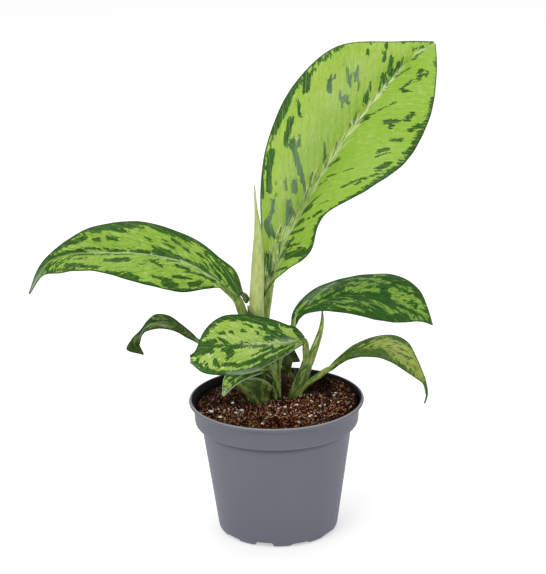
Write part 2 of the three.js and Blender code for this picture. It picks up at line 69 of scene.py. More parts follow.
# Leaves. A blade is drawn by ribs across its midrib, from base to tip. Each rib is
#   (x, y, z, left width, left lift, right width, right lift)
# where x, y, z is the midrib and a half's lift, in degrees, is how far it turns up towards the face.
# Left and right are as seen on the upper side, looking towards the tip.
#
# A stroke of colour is (share, side, share, side, width): it runs from one place on the blade to another.
# Shares run 0 to 1 along the midrib, and sides run from -1, the right margin, to 1, the left one.
# The ground is the colour between a leaf's strokes, and the soft pale strokes are a painted reflection where
# the blade would shine. The pale band along the midrib is (width at the base, width at the tip, fading). The
# margin's glint, a painted highlight along the edge, is (share, share, side): side 0 means both.
LEAVES = {
    "leaf_upright": {
        "face": (-0.15, -1, 0.35),
        "stalk": [
            (-11, 13.6, 118, 4), (-9.6, 14.8, 130, 4.2), (-8, 16.2, 142, 3.9), (-6.8, 17.4, 150, 3.6),
        ],
        "stalk_end": 3.4,
        "ribs": [
            (-5.5, 17, 157.5, 1.8, 30, 4, 125),
            (-2.5, 18.5, 171, 5.6, 30, 4.2, 65),
            (2.5, 20, 183.5, 10.2, 20, 14.5, 49),
            (8, 23, 200, 18.5, 15, 31, 45),
            (21, 28, 219.5, 35.6, 25, 36.5, 60),
            (34, 37, 241.5, 44.5, 20, 51, 45),
            (53, 49, 267, 50.6, 20, 50, 25),
            (77, 64, 293.5, 43.2, 15, 40, 15),
            (97, 75, 312.5, 14.4, 10, 25, 30),
            (112.5, 82, 320.5, 1.6, 15, 1.6, 30),
        ],
        "vein_slopes": (1.5, 0.8),
        "band": (7.5, 1.2, 0),
        "midline": 0.7,
        "painted_sheen": [(0.25, 0.55, 0.75, 0.5, 20)],
        "looks": "lime",
        "petiole": "olive",
        "ground": "light",
        "dark": [
            # the left half, from the tip down
            (0.92, 0.95, 1.0, 0.9, 1.5), (0.93, 0.35, 0.96, 0.2, 2), (0.88, 0.87, 0.873, 0.75, 2.5),
            (0.86, 0.95, 0.84, 0.95, 1.2), (0.832, 0.76, 0.818, 0.65, 2), (0.856, 0.57, 0.84, 0.4, 2.2),
            (0.79, 0.96, 0.75, 0.97, 1.8), (0.74, 0.95, 0.69, 0.97, 3.2), (0.68, 0.93, 0.65, 0.9, 1.8),
            (0.65, 0.95, 0.612, 0.83, 5), (0.625, 0.98, 0.56, 0.96, 4.5), (0.56, 0.96, 0.515, 0.94, 4.5),
            (0.515, 0.95, 0.465, 0.95, 4), (0.574, 0.85, 0.54, 0.7, 2.4), (0.516, 0.8, 0.46, 0.74, 4),
            (0.455, 0.74, 0.466, 0.56, 2.8), (0.474, 0.65, 0.442, 0.53, 4), (0.442, 0.53, 0.41, 0.38, 4.2),
            (0.41, 0.38, 0.388, 0.25, 4), (0.39, 0.24, 0.35, 0.08, 2.4), (0.5, 0.6, 0.47, 0.53, 1.5),
            (0.417, 0.9, 0.363, 0.88, 4.4), (0.363, 0.88, 0.31, 0.82, 4), (0.45, 0.94, 0.395, 0.95, 1.4),
            (0.38, 0.99, 0.28, 0.95, 2), (0.345, 0.73, 0.335, 0.7, 1.2), (0.315, 0.66, 0.305, 0.68, 1.5),
            (0.358, 0.55, 0.338, 0.5, 2), (0.37, 0.38, 0.347, 0.33, 4), (0.523, 0.23, 0.464, 0.03, 2),
            (0.42, 0.16, 0.39, 0.1, 1.8), (0.74, 0.6, 0.71, 0.46, 2.2), (0.735, 0.52, 0.705, 0.4, 1.2),
            (0.766, 0.53, 0.718, 0.3, 1.4), (0.747, 0.5, 0.73, 0.4, 2), (0.68, 0.68, 0.65, 0.58, 3.6),
            (0.7, 0.66, 0.68, 0.64, 1.6), (0.673, 0.47, 0.64, 0.3, 2.2), (0.664, 0.4, 0.662, 0.28, 3.4),
            (0.677, 0.33, 0.66, 0.27, 1.5), (0.727, 0.15, 0.702, 0.1, 4), (0.762, 0.23, 0.727, 0.12, 1.2),
            (0.8, 0.14, 0.792, 0.05, 5.5), (0.824, 0.12, 0.83, 0.03, 4), (0.865, 0.14, 0.844, 0.05, 3.2),
            (0.888, 0.23, 0.865, 0.05, 1.5), (0.862, 0.38, 0.83, 0.15, 3), (0.794, 0.15, 0.758, 0.03, 1.6),
            (0.66, 0.1, 0.63, 0.05, 2), (0.615, 0.06, 0.605, 0.03, 1.2), (0.54, 0.06, 0.53, 0.03, 1.2),
            (0.29, 0.7, 0.26, 0.66, 3), (0.26, 0.68, 0.225, 0.72, 2.4),
            (0.225, 0.78, 0.2, 0.6, 5), (0.215, 0.6, 0.195, 0.42, 3),
            (0.31, 0.38, 0.25, 0.16, 3.4), (0.297, 0.25, 0.28, 0.15, 3.5), (0.2, 0.05, 0.173, 0.15, 2.5),
            (0.14, 0.68, 0.1, 0.55, 4.5), (0.12, 0.35, 0.08, 0.4, 4), (0.19, 0.15, 0.13, 0.1, 1.4),
            (0.23, 0.3, 0.17, 0.22, 1), (0.076, 0.68, 0.05, 0.85, 3),
            # the right half, from the tip down
            (0.96, -0.95, 0.93, -0.92, 2), (0.91, -0.1, 0.95, -0.12, 2), (0.888, -0.53, 0.865, -0.55, 4.2),
            (0.895, -0.68, 0.882, -0.7, 1.6), (0.84, -0.4, 0.804, -0.3, 2.6), (0.804, -0.3, 0.8, -0.38, 2.6),
            (0.804, -0.34, 0.812, -0.48, 1.2), (0.83, -0.05, 0.88, -0.2, 1.6),
            (0.76, -0.03, 0.775, -0.01, 1.5),
            (0.84, -0.97, 0.79, -0.97, 2), (0.79, -0.97, 0.73, -0.96, 3), (0.754, -0.72, 0.727, -0.68, 3.6),
            (0.677, -0.4, 0.7, -0.55, 4), (0.692, -0.47, 0.67, -0.53, 3.4), (0.731, -0.88, 0.7, -0.8, 3.4),
            (0.735, -0.96, 0.7, -0.93, 3), (0.656, -0.78, 0.637, -0.66, 2.8), (0.71, -0.96, 0.63, -0.96, 5),
            (0.63, -0.97, 0.57, -0.97, 4.4), (0.57, -0.97, 0.52, -0.96, 4.4), (0.52, -0.97, 0.44, -0.97, 4),
            (0.604, -0.7, 0.582, -0.62, 3), (0.59, -0.72, 0.56, -0.65, 2.2), (0.56, -0.86, 0.525, -0.83, 4.6),
            (0.505, -0.88, 0.445, -0.8, 2), (0.478, -0.82, 0.42, -0.68, 2), (0.474, -0.07, 0.498, -0.15, 3.6),
            (0.432, -0.2, 0.448, -0.33, 1.5), (0.467, -0.45, 0.488, -0.53, 1.5),
            (0.637, -0.03, 0.668, -0.1, 4.4),
            (0.668, -0.1, 0.754, -0.35, 1.1), (0.615, -0.9, 0.625, -0.93, 1.2),
            # its foot, in streaks
            (0.44, -0.97, 0.37, -0.97, 2.5), (0.36, -0.97, 0.31, -0.98, 1.8), (0.31, -0.97, 0.23, -0.97, 3.4),
            (0.23, -0.97, 0.17, -0.95, 3), (0.302, -0.17, 0.33, -0.42, 5.2), (0.33, -0.3, 0.372, -0.42, 1.5),
            (0.289, -0.15, 0.3, -0.25, 1.5), (0.305, -0.75, 0.33, -0.85, 2), (0.256, -0.2, 0.28, -0.42, 3.8),
            (0.28, -0.5, 0.295, -0.65, 1), (0.23, -0.2, 0.256, -0.55, 2.4), (0.192, -0.17, 0.22, -0.36, 3.4),
            (0.19, -0.3, 0.215, -0.6, 2), (0.14, 0.0, 0.162, -0.23, 3.2), (0.165, -0.25, 0.205, -0.85, 5),
            (0.155, -0.45, 0.198, -0.93, 3), (0.1, -0.2, 0.13, -0.9, 2.2), (0.4, -0.12, 0.42, -0.25, 1),
            (0.35, -0.12, 0.37, -0.24, 1), (0.34, -0.6, 0.37, -0.8, 1),
        ],
        "light": [
            (0.13, -0.2, 0.18, -0.85, 0.8), (0.115, -0.35, 0.155, -0.85, 0.9),
            (0.175, -0.35, 0.205, -0.7, 0.6), (0.205, -0.15, 0.235, -0.5, 0.6),
            (0.49, -0.95, 0.45, -0.92, 0.6), (0.6, -0.94, 0.56, -0.93, 0.5),
        ],
    },
    "leaf_left_large": {
        "face": (-0.2, -0.6, 0.8),
        "stalk": [
            (-13.2, 12.6, 110, 2.6), (-16.4, 11.8, 123, 3), (-17.6, 11, 133, 2.8),
            (-19.6, 10, 143, 2.9), (-22.4, 9, 153, 3.3),
        ],
        "stalk_end": 3.1,
        "ribs": [
            (-25.5, 8, 162.5, 2, -15, 5.8, 35),
            (-34, 6, 172, 2, -15, 12.8, 25),
            (-42.5, 4, 179.5, 9.5, -15, 14.5, 15),
            (-59.5, 0, 191, 22, -10, 19, 15),
            (-87.5, -8, 200, 25.5, 0, 23.5, 15),
            (-117, -16, 203.5, 19, 10, 19, 20),
            (-134, -20, 204.5, 18, 10, 10, 20),
            (-147, -24, 201, 15, 10, 4, 15),
            (-154, -26, 193, 3, 0, 3, 15),
            (-161.5, -28, 180, 0.6, -10, 0.6, 15),
        ],
        "vein_slopes": (2.2, 3.0),
        "band": (2.6, 0.8, 0),
        "midline": 0.75,
        "glint_margin": (0.0, 0.14, 0),
        "painted_sheen": [(0.98, 0.0, 0.9, 0.3, 5)],
        "looks": "variegated",
        "petiole": "olive",
        "ground": "light",
        "dark": [
            # the upper half in view
            (0.82, -0.95, 0.68, -0.93, 3), (0.66, -0.92, 0.5, -0.88, 7), (0.5, -0.96, 0.42, -0.95, 4),
            (0.42, -0.92, 0.29, -0.85, 6), (0.29, -0.93, 0.2, -0.92, 4), (0.2, -0.85, 0.02, -0.8, 8),
            (0.6, -0.48, 0.565, -0.43, 3), (0.665, -0.5, 0.64, -0.47, 2.2), (0.69, -0.62, 0.8, -0.75, 3.5),
            (0.59, -0.78, 0.53, -0.65, 2.5), (0.5, -0.78, 0.46, -0.78, 2), (0.455, -0.5, 0.43, -0.42, 2),
            (0.375, -0.45, 0.34, -0.38, 3), (0.41, -0.1, 0.33, -0.12, 6), (0.48, -0.08, 0.43, -0.05, 3),
            (0.51, -0.08, 0.475, -0.03, 2), (0.6, -0.08, 0.53, -0.07, 1.5), (0.7, -0.07, 0.8, -0.15, 3),
            (0.35, -0.62, 0.31, -0.52, 2.5), (0.32, -0.55, 0.27, -0.42, 2), (0.36, -0.2, 0.27, -0.08, 2),
            (0.25, -0.05, 0.2, -0.1, 4), (0.23, -0.55, 0.17, -0.3, 4), (0.19, -0.15, 0.12, -0.12, 5),
            (0.15, -0.6, 0.05, -0.4, 6), (0.3, -0.72, 0.22, -0.6, 1.5), (0.88, -0.4, 0.82, -0.3, 3),
            (0.16, -0.45, 0.0, -0.3, 6), (0.1, -0.9, 0.0, -0.9, 6), (0.18, -0.75, 0.08, -0.6, 4),
            # the lower half in view
            (0.62, 0.45, 0.53, 0.3, 4), (0.79, 0.7, 0.72, 0.8, 4), (0.72, 0.8, 0.66, 0.85, 3),
            (0.84, 0.6, 0.8, 0.5, 1.5), (0.62, 0.95, 0.5, 0.92, 4), (0.55, 0.85, 0.5, 0.88, 4),
            (0.5, 0.96, 0.4, 0.97, 2.5), (0.43, 0.25, 0.385, 0.35, 3), (0.485, 0.42, 0.47, 0.42, 1.5),
            (0.43, 0.45, 0.42, 0.46, 1), (0.43, 0.75, 0.36, 0.72, 2.5), (0.365, 0.78, 0.31, 0.88, 7),
            (0.32, 0.2, 0.26, 0.22, 2.5), (0.33, 0.6, 0.24, 0.52, 2), (0.24, 0.75, 0.19, 0.6, 4),
            (0.29, 0.97, 0.12, 0.95, 2.5), (0.72, 0.1, 0.6, 0.08, 1.5), (0.2, 0.2, 0.12, 0.3, 2),
            # the tip
            (0.98, -0.5, 0.84, -0.8, 4), (0.98, 0.0, 0.85, -0.1, 3), (0.95, 0.5, 0.86, 0.8, 4),
            (0.9, 0.3, 0.84, 0.2, 1.5), (0.93, -0.3, 0.88, -0.35, 2), (0.79, 0.3, 0.76, 0.35, 1.5),
            (0.92, -0.15, 0.8, -0.25, 2), (0.9, 0.55, 0.8, 0.5, 2), (0.86, 0.85, 0.76, 0.92, 2.5),
            (0.86, 0.02, 0.72, 0.02, 1.6), (0.85, -0.55, 0.8, -0.6, 2), (0.8, 0.2, 0.66, 0.15, 1.4),
            (0.86, -0.12, 0.7, -0.16, 1.6), (0.84, 0.35, 0.74, 0.3, 1), (0.7, -0.2, 0.6, -0.14, 1),
            (0.58, 0.12, 0.5, 0.05, 1.2), (0.36, 0.12, 0.3, 0.02, 1.4), (0.28, 0.35, 0.22, 0.25, 1.4),
            (0.42, -0.25, 0.36, -0.15, 1.2), (0.46, 0.3, 0.4, 0.15, 1), (0.8, 0.45, 0.7, 0.42, 1),
        ],
        "light": [
            (0.19, -0.72, 0.12, -0.5, 0.8), (0.14, -0.85, 0.08, -0.7, 0.3), (0.24, -0.8, 0.2, -0.78, 1),
            (0.25, -0.3, 0.12, -0.12, 0.7), (0.3, -0.5, 0.15, -0.28, 0.7), (0.2, -0.45, 0.08, -0.25, 0.7),
            (0.34, -0.22, 0.2, -0.06, 0.7), (0.28, -0.68, 0.18, -0.5, 0.7), (0.12, -0.3, 0.04, -0.15, 0.7),
            (0.38, -0.5, 0.3, -0.34, 0.7), (0.16, -0.9, 0.06, -0.85, 0.2), (0.33, -0.75, 0.28, -0.66, 0.7),
        ],
    },
    "leaf_left_small": {
        "face": (-0.5, -0.6, 0.6),
        "stalk": [
            (-14, 13, 100, 2.2), (-17.9, 13.4, 105.2, 2.3), (-21.5, 15, 110.5, 2.2), (-29, 17, 114.5, 2),
            (-37, 19, 119, 1.9), (-45.5, 21, 123.5, 1.8),
        ],
        "stalk_end": 1.7,
        "ribs": [
            (-53.5, 22, 127.5, 1.5, 30, 1, 25),
            (-59, 24, 130.5, 2.5, 30, 3, 25),
            (-66.5, 27, 135.5, 4, 30, 3.5, 25),
            (-74, 30, 139, 8, 35, 4.5, 25),
            (-82, 33, 138.5, 11, 35, 5, 20),
            (-87.5, 35, 135.5, 12.5, 40, 3, 25),
            (-92.5, 37, 129.5, 11, 35, 2, 35),
            (-96.5, 37, 123, 9, 30, 4, 50),
            (-97, 35, 117.5, 5.5, 30, 13.5, 86),
            (-92, 32, 114.5, 0.8, 25, 0.8, 60),
        ],
        "vein_slopes": (1.6, 1.6),
        "band": (0.9, 0.4, 0),
        "midline": 0.15,
        "painted_sheen": [(0.3, 0.0, 0.5, 0.4, 2)],
        "looks": "muted",
        "petiole": "cane",
        "ground": "dark",
        "light": [
            (0.28, 0.0, 0.1, 0.05, 1.4), (0.56, 0.55, 0.3, 0.8, 2.5), (0.5, -0.4, 0.4, -0.3, 0.8),
            (0.98, 0.0, 0.8, -0.3, 5), (0.42, 0.1, 0.32, 0.15, 0.8), (0.62, 0.3, 0.54, 0.3, 0.8),
        ],
    },
    "leaf_low_front": {
        "face": (-0.3, -0.8, 0.5),
        "stalk": [
            (-11, 12, 101, 1.8), (-9, 7.5, 107, 1.9), (-6, 3.5, 112, 1.7),
        ],
        "stalk_end": 1.5,
        "ribs": [
            (-5.5, 0, 115, 2.5, -40, 4.5, -10),
            (-14, -7, 115.5, 3, -15, 8, 5),
            (-23, -13, 115, 4, 0, 8.5, 10),
            (-30.5, -17, 111, 4, 10, 6, 10),
            (-36, -19, 102.5, 0.8, 10, 0.8, 10),
        ],
        "vein_slopes": (1.6, 1.6),
        "band": (0.8, 0.4, 0),
        "midline": 0.35,
        "glint_margin": (0.1, 1.2, 0),
        "painted_sheen": [(1.0, 0.0, 0.86, 0.0, 2.5)],
        "looks": "fresh",
        "petiole": "cane",
        "ground": "dark",
        "light": [
            (0.74, -0.55, 0.6, -0.35, 1), (0.88, -0.5, 0.78, -0.62, 0.8), (0.94, -0.1, 0.76, 0.0, 1),
            (0.66, 0.3, 0.54, 0.4, 0.8), (0.98, 0.0, 0.9, 0.0, 1.2), (0.84, 0.5, 0.78, 0.4, 0.6),
            (0.5, -0.3, 0.38, -0.15, 0.8), (0.62, -0.75, 0.52, -0.6, 0.8), (0.4, -0.6, 0.28, -0.45, 0.8),
        ],
    },
    "leaf_low_back": {
        "face": (0.1, -0.9, 0.3),
        "stalk": [
            (-9.5, 15, 108, 1.4), (-5.5, 19, 115.5, 1.4), (-1, 20.6, 122, 1.3),
        ],
        "stalk_end": 1.2,
        "ribs": [
            (2.5, 21.5, 126.5, 1.5, 0, 1.5, 0),
            (5.8, 22.6, 125.5, 3.6, 10, 5.5, 5),
            (8.9, 23.5, 120.4, 3.2, 20, 8, 10),
            (12.3, 24.3, 115.4, 2.4, 25, 7, 15),
            (16.5, 25, 110.2, 0.6, 10, 0.6, 10),
        ],
        "vein_slopes": (1.6, 1.6),
        "band": (0.6, 0.3, 0),
        "midline": 0.1,
        "looks": "muted",
        "petiole": "cane",
        "ground": "dark",
        "light": [(0.5, 0.0, 0.35, 0.1, 1), (0.6, -0.5, 0.5, -0.4, 0.8)],
    },
    "leaf_right_upper": {
        "face": (0.1, -0.5, 0.85),
        "stalk": [
            (0, 13.2, 66, 2.5), (0.4, 13, 86, 2.8), (0.5, 13, 99, 2.8), (0.4, 13, 107, 2.7),
            (2.2, 13.5, 116, 2.5), (5, 14, 124.5, 2.3), (8.7, 14, 133, 2.1),
        ],
        "stalk_end": 1.9,
        "ribs": [
            (12.5, 14, 141, 2, -5, 2, 10),
            (14.5, 15, 147, 3.5, -5, 4, 15),
            (20, 17, 152, 6.5, -5, 7, 15),
            (31, 20, 156, 12, -5, 13, 15),
            (48, 25, 157.5, 18, -10, 20, 10),
            (65.5, 30, 155, 22, -5, 22.5, 5),
            (83, 34, 149, 24, 5, 19.5, 5),
            (97, 37, 141.5, 20.5, 5, 11, 10),
            (104, 38, 137, 9.5, 0, 6, 10),
            (109.5, 39, 130.5, 0.6, -5, 0.6, 10),
        ],
        "vein_slopes": (2.6, 2.6),
        "band": (1.4, 0.5, 0),
        "midline": 0.2,
        "painted_sheen": [(0.36, 0.75, 0.16, 0.4, 5)],
        "looks": "dark",
        "petiole": "olive",
        "ground": "dark",
        "dark": [
            (0.5, 0.7, 0.48, 0.65, 2), (0.6, 0.62, 0.56, 0.5, 1.2), (0.82, 0.25, 0.8, 0.15, 2),
            (0.65, 0.7, 0.64, 0.1, 2.5), (0.6, 0.08, 0.4, 0.05, 1.6), (0.84, -0.1, 0.66, -0.08, 2),
            (0.56, 0.35, 0.49, 0.25, 1.2), (0.46, 0.3, 0.42, 0.2, 0.8), (0.52, 0.55, 0.46, 0.42, 0.8),
            (0.75, 0.3, 0.7, 0.18, 1), (0.8, 0.55, 0.74, 0.42, 0.8), (0.88, 0.3, 0.84, 0.2, 0.8),
            (0.62, -0.4, 0.57, -0.3, 0.8), (0.8, -0.5, 0.76, -0.4, 0.8), (0.47, -0.5, 0.42, -0.4, 0.8),
        ],
        "light": [
            (0.42, 0.25, 0.58, 0.28, 5), (0.46, 0.5, 0.58, 0.45, 4), (0.52, 0.75, 0.6, 0.72, 2.5),
            (0.42, 0.8, 0.5, 0.8, 1.2), (0.4, 0.5, 0.46, 0.6, 1.4), (0.33, 0.15, 0.4, 0.25, 1.2),
            (0.7, 0.35, 0.82, 0.3, 6), (0.7, 0.12, 0.84, 0.04, 4), (0.72, 0.55, 0.8, 0.6, 2.2),
            (0.82, 0.4, 0.89, 0.4, 4), (0.87, 0.1, 0.93, 0.0, 3), (0.6, 0.93, 0.65, 0.93, 2),
            (0.6, 0.6, 0.66, 0.6, 1.5), (0.22, -0.12, 0.27, -0.1, 2.5), (0.37, -0.4, 0.5, -0.45, 3),
            (0.56, -0.32, 0.64, -0.5, 4), (0.65, -0.6, 0.72, -0.55, 2.6), (0.74, -0.38, 0.83, -0.6, 3),
            (0.38, -0.7, 0.45, -0.8, 2.5), (0.82, -0.8, 0.9, -0.7, 2), (0.2, 0.3, 0.24, 0.35, 1.2),
            (0.08, 0.3, 0.16, 0.4, 1), (0.14, -0.3, 0.2, -0.4, 1.2), (0.24, 0.5, 0.3, 0.6, 1),
            (0.26, 0.2, 0.32, 0.35, 1.2), (0.28, -0.3, 0.35, -0.5, 1.4), (0.3, 0.7, 0.36, 0.8, 1),
            (0.17, 0.12, 0.24, 0.2, 1), (0.3, -0.6, 0.36, -0.8, 1), (0.34, -0.1, 0.4, -0.2, 1.4),
        ],
    },
    "leaf_front": {
        "face": (-0.1, -0.9, 0.45),
        "stalk": [
            (19.8, 12.7, 108, 2.4), (20.9, 12.3, 116, 2.5), (20.7, 12, 123, 2.4), (20.5, 11.4, 128, 2.2),
        ],
        "stalk_end": 2,
        "ribs": [
            (19.5, 10, 131, 2.5, -15, 3, 40),
            (13.5, 6, 131.5, 5, -10, 10, 30),
            (6.5, 0, 133, 8.5, -10, 12.5, 25),
            (-2.5, -8, 136, 13, -10, 16, 15),
            (-16, -20, 139, 18, -5, 20.5, 0),
            (-30, -32, 143.5, 20, -5, 20.5, -10),
            (-42.5, -42, 146, 19, -15, 12, 0),
            (-51.5, -49, 144.5, 14, -30, 2, 10),
            (-56, -51, 143, 9, -75, 0.6, 15),
        ],
        "vein_slopes": (2.4, 2.3),
        "band": (3.4, 2, 1.4),
        "midline": 0.06,
        "glint_margin": (0.05, 0.72, 1),
        "painted_sheen": [(0.1, -0.12, 0.2, -0.12, 3.5), (0.45, 0.95, 0.72, 0.95, 3)],
        "looks": "fresh",
        "petiole": "olive",
        "ground": "light",
        "dark": [
            # the upper half in view
            (0.72, -0.96, 0.55, -0.9, 5), (0.55, -0.92, 0.4, -0.85, 6), (0.4, -0.85, 0.27, -0.7, 7),
            (0.27, -0.95, 0.1, -0.95, 3), (0.36, -0.65, 0.27, -0.5, 5), (0.27, -0.6, 0.22, -0.5, 3),
            (0.35, -0.42, 0.2, -0.3, 2.5), (0.35, -0.2, 0.3, -0.18, 4), (0.3, -0.3, 0.17, -0.15, 2.5),
            (0.1, -0.8, 0.02, -0.5, 4), (0.745, -0.45, 0.7, -0.4, 2.5), (0.66, -0.42, 0.635, -0.4, 3),
            (0.56, -0.45, 0.52, -0.43, 2), (0.51, -0.68, 0.465, -0.6, 2.5), (0.43, -0.38, 0.415, -0.33, 2),
            (0.75, -0.25, 0.71, -0.1, 3), (0.85, -0.3, 0.79, -0.2, 3), (0.93, -0.25, 0.86, -0.05, 8),
            (0.96, -0.9, 0.76, -0.96, 4.5), (0.64, -0.78, 0.58, -0.74, 1.5), (1.0, -0.5, 0.9, -0.6, 5),
            (0.9, -0.8, 0.97, -0.3, 5),
            # the midrib
            (0.86, 0.0, 0.75, 0.02, 2.5), (0.75, 0.02, 0.66, 0.03, 2), (0.62, 0.03, 0.55, 0.05, 3),
            (0.54, 0.03, 0.46, 0.04, 2), (0.46, 0.06, 0.36, 0.08, 2), (0.57, -0.08, 0.48, -0.08, 1.2),
            # the lower half in view
            (0.74, 0.15, 0.6, 0.05, 3), (0.75, 0.2, 0.7, 0.13, 2), (0.71, 0.28, 0.67, 0.25, 5),
            (0.73, 0.45, 0.68, 0.4, 2), (0.83, 0.55, 0.81, 0.65, 5), (0.76, 0.65, 0.65, 0.65, 2.5),
            (0.9, 0.95, 0.3, 0.95, 4.5), (0.3, 0.97, 0.08, 0.97, 2.4), (0.65, 0.72, 0.4, 0.55, 3),
            (0.4, 0.5, 0.2, 0.3, 2.5), (0.3, 0.4, 0.12, 0.25, 1.6), (0.22, -0.35, 0.1, -0.2, 2),
            (0.25, -0.5, 0.15, -0.35, 1.4), (0.4, -0.55, 0.3, -0.4, 1.6), (0.5, 0.4, 0.38, 0.28, 1.4),
            (0.3, 0.75, 0.1, 0.5, 2.5), (0.5, 0.8, 0.3, 0.72, 4), (0.98, 0.6, 0.9, 0.9, 4),
            (0.93, 0.55, 0.9, 0.6, 2), (0.42, 0.3, 0.3, 0.22, 2), (0.86, 0.22, 0.83, 0.15, 2),
            (0.38, 0.2, 0.3, 0.12, 1.5), (0.16, 0.2, 0.06, 0.15, 2), (1.0, 0.1, 0.99, 0.95, 3),
            (0.99, 0.9, 0.9, 0.96, 3.5), (0.955, 0.25, 0.97, 0.5, 1.2),
        ],
        "light": [(0.32, -0.62, 0.29, -0.62, 2), (0.5, 0.72, 0.42, 0.68, 1), (0.36, 0.62, 0.28, 0.55, 1)],
    },
    "leaf_right_lower": {
        "face": (0.2, -0.5, 0.85),
        "stalk": [
            (12.2, 12.7, 86, 2.6), (14.6, 12.3, 91, 2.6), (18.4, 12, 96, 2.4),
            (23.6, 11.4, 100.4, 2.1), (29.6, 10.5, 105, 2), (34, 9.4, 108.8, 2),
        ],
        "stalk_end": 1.9,
        "ribs": [
            (37.5, 8, 111.5, 2, 0, 2, 0),
            (44, 6, 117.5, 4, -5, 3.5, 10),
            (52, 3, 124, 7, -10, 7, 15),
            (62.5, 0, 128.5, 11, -10, 11.5, 15),
            (74, -4, 130, 14, -5, 15, 15),
            (83, -8, 127.5, 12.5, 0, 15, 15),
            (90.5, -12, 122, 7.5, -5, 12, 15),
            (96, -15, 114.5, 4.5, -5, 6, 15),
            (100, -17, 108.5, 1.7, -5, 1.5, 10),
            (101.5, -18, 101, 0.8, -5, 0.8, 10),
            (100, -18, 94.5, 0.5, -5, 0.5, 10),
        ],
        "vein_slopes": (2.0, 2.0),
        "band": (1.0, 0.4, 0),
        "midline": 0.2,
        "looks": "olive",
        "petiole": "olive",
        "ground": "dark",
        "dark": [
            (0.5, 0.45, 0.53, 0.45, 1.5), (0.57, 0.25, 0.6, 0.3, 1.5), (0.56, -0.1, 0.58, -0.15, 1.5),
            (0.62, 0.1, 0.65, 0.15, 1.5), (0.53, -0.45, 0.56, -0.5, 1.5), (0.48, 0.1, 0.5, 0.05, 1.5),
            (0.66, -0.4, 0.69, -0.42, 1.2), (0.7, 0.0, 0.73, 0.02, 1.2),
        ],
        "light": [
            (0.36, 0.4, 0.45, 0.3, 4), (0.4, 0.0, 0.5, 0.1, 4), (0.46, 0.3, 0.62, 0.35, 8),
            (0.5, -0.1, 0.78, 0.1, 9), (0.55, -0.5, 0.8, -0.5, 7), (0.42, 0.65, 0.47, 0.6, 2),
            (0.62, 0.6, 0.78, 0.6, 3), (0.36, 0.75, 0.44, 0.8, 1.5), (0.28, 0.3, 0.36, 0.35, 0.8),
            (0.3, -0.2, 0.4, -0.3, 0.8), (0.34, 0.55, 0.42, 0.65, 0.8), (0.24, 0.0, 0.34, 0.05, 0.8),
        ],
    },
}


# ---- curves --------------------------------------------------------------------------------------


class Spline:
    """A smooth line through points. A share runs 0 to 1, with an even part of it from point to point."""

    fineness = 400

    def __init__(self, points):
        before = 2 * points[0] - points[1]
        after = 2 * points[-1] - points[-2]
        self.points = [before, *points, after]
        self.spans = len(points) - 1

    def at(self, share):
        place = min(max(share, 0), 1) * self.spans
        index = min(int(place), self.spans - 1)
        part = place - index
        before, start, end, after = self.points[index:index + 4]
        leave = (end - before) / 2
        arrive = (after - start) / 2
        square = (3 * (end - start) - 2 * leave - arrive) * part ** 2
        cube = (2 * (start - end) + leave + arrive) * part ** 3
        return start + leave * part + square + cube

    def heading(self, share):
        step = 1e-4
        ahead = self.at(min(share + step, 1))
        return (ahead - self.at(max(share - step, 0))).normalized()

    def even_shares(self, count):
        """Shares that split the line's length evenly, and that length."""
        places = [self.at(i / self.fineness) for i in range(self.fineness + 1)]
        run = [0.0]
        for here, there in zip(places, places[1:]):
            run.append(run[-1] + (there - here).length)
        shares = []
        index = 0
        for i in range(count + 1):
            goal = run[-1] * i / count
            while index < self.fineness - 1 and run[index + 1] < goal:
                index += 1
            part = (goal - run[index]) / (run[index + 1] - run[index])
            shares.append((index + part) / self.fineness)
        return shares, run[-1]


def mix(low, high, part):
    return low + (high - low) * part


def smooth(low, high, value):
    part = min(max((value - low) / (high - low), 0), 1)
    return part * part * (3 - 2 * part)


def offset_from_stroke(x, y, x1, y1, x2, y2):
    along_x = x2 - x1
    along_y = y2 - y1
    length = along_x ** 2 + along_y ** 2
    part = 0 if length == 0 else ((x - x1) * along_x + (y - y1) * along_y) / length
    part = min(max(part, 0), 1)
    return x - x1 - along_x * part, y - y1 - along_y * part


# ---- pieces --------------------------------------------------------------------------------------


def finish_piece(name, bm, materials, node_name, slot, shade=True):
    """Makes a piece from a bmesh in millimetres. It stands for a node, whose imported part it hides. Its slot
    is not used.
    """
    bmesh.ops.scale(bm, vec=(MM, MM, MM), verts=bm.verts)
    for face in bm.faces:
        face.smooth = shade
    mesh = bpy.data.meshes.new(name)
    bm.to_mesh(mesh)
    bm.free()
    for material in materials:
        mesh.materials.append(material)
    piece = bpy.data.objects.new(name, mesh)
    bpy.context.scene.collection.objects.link(piece)
    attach(piece, "root")
    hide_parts(node_name)
    return piece


def thicken(piece, thickness):
    skin = piece.modifiers.new("thickness", "SOLIDIFY")
    skin.thickness = thickness * MM
    skin.offset = 0
    return skin


def close_ends(bm):
    ends = [edge for edge in bm.edges if edge.is_boundary]
    bmesh.ops.holes_fill(bm, edges=ends, sides=0)


# ---- leaves --------------------------------------------------------------------------------------

BLADE_ARCH = 0.08
BLADE_THICKNESS = 0.6
MARGIN_THINNESS = 0.45      # the margin's share of the blade's thickness
BLADE_FACE = 0.9            # the size of a blade's faces
GROOVE_DEPTH = 0.4
GROOVE_WIDTH = 2.4
QUILT_HEIGHT = 0.16         # swelling of the blade between its side veins
QUILT_SPACING = 4.6
WAVE_HEIGHT = 0.5
WAVE_LENGTH = 24
RIPPLE_HEIGHT = 0.12
RIPPLE_LENGTH = 15
FADE_ACROSS = 1.5           # how far a stroke's strength fades across the veins
FADE_ALONG = 5.5            # and along them, where its ends fray
RIDGE_DROP = 0.5            # how far the ridge's top is under the middle of the blade
RIDGE_TIP_RADIUS = 0.45


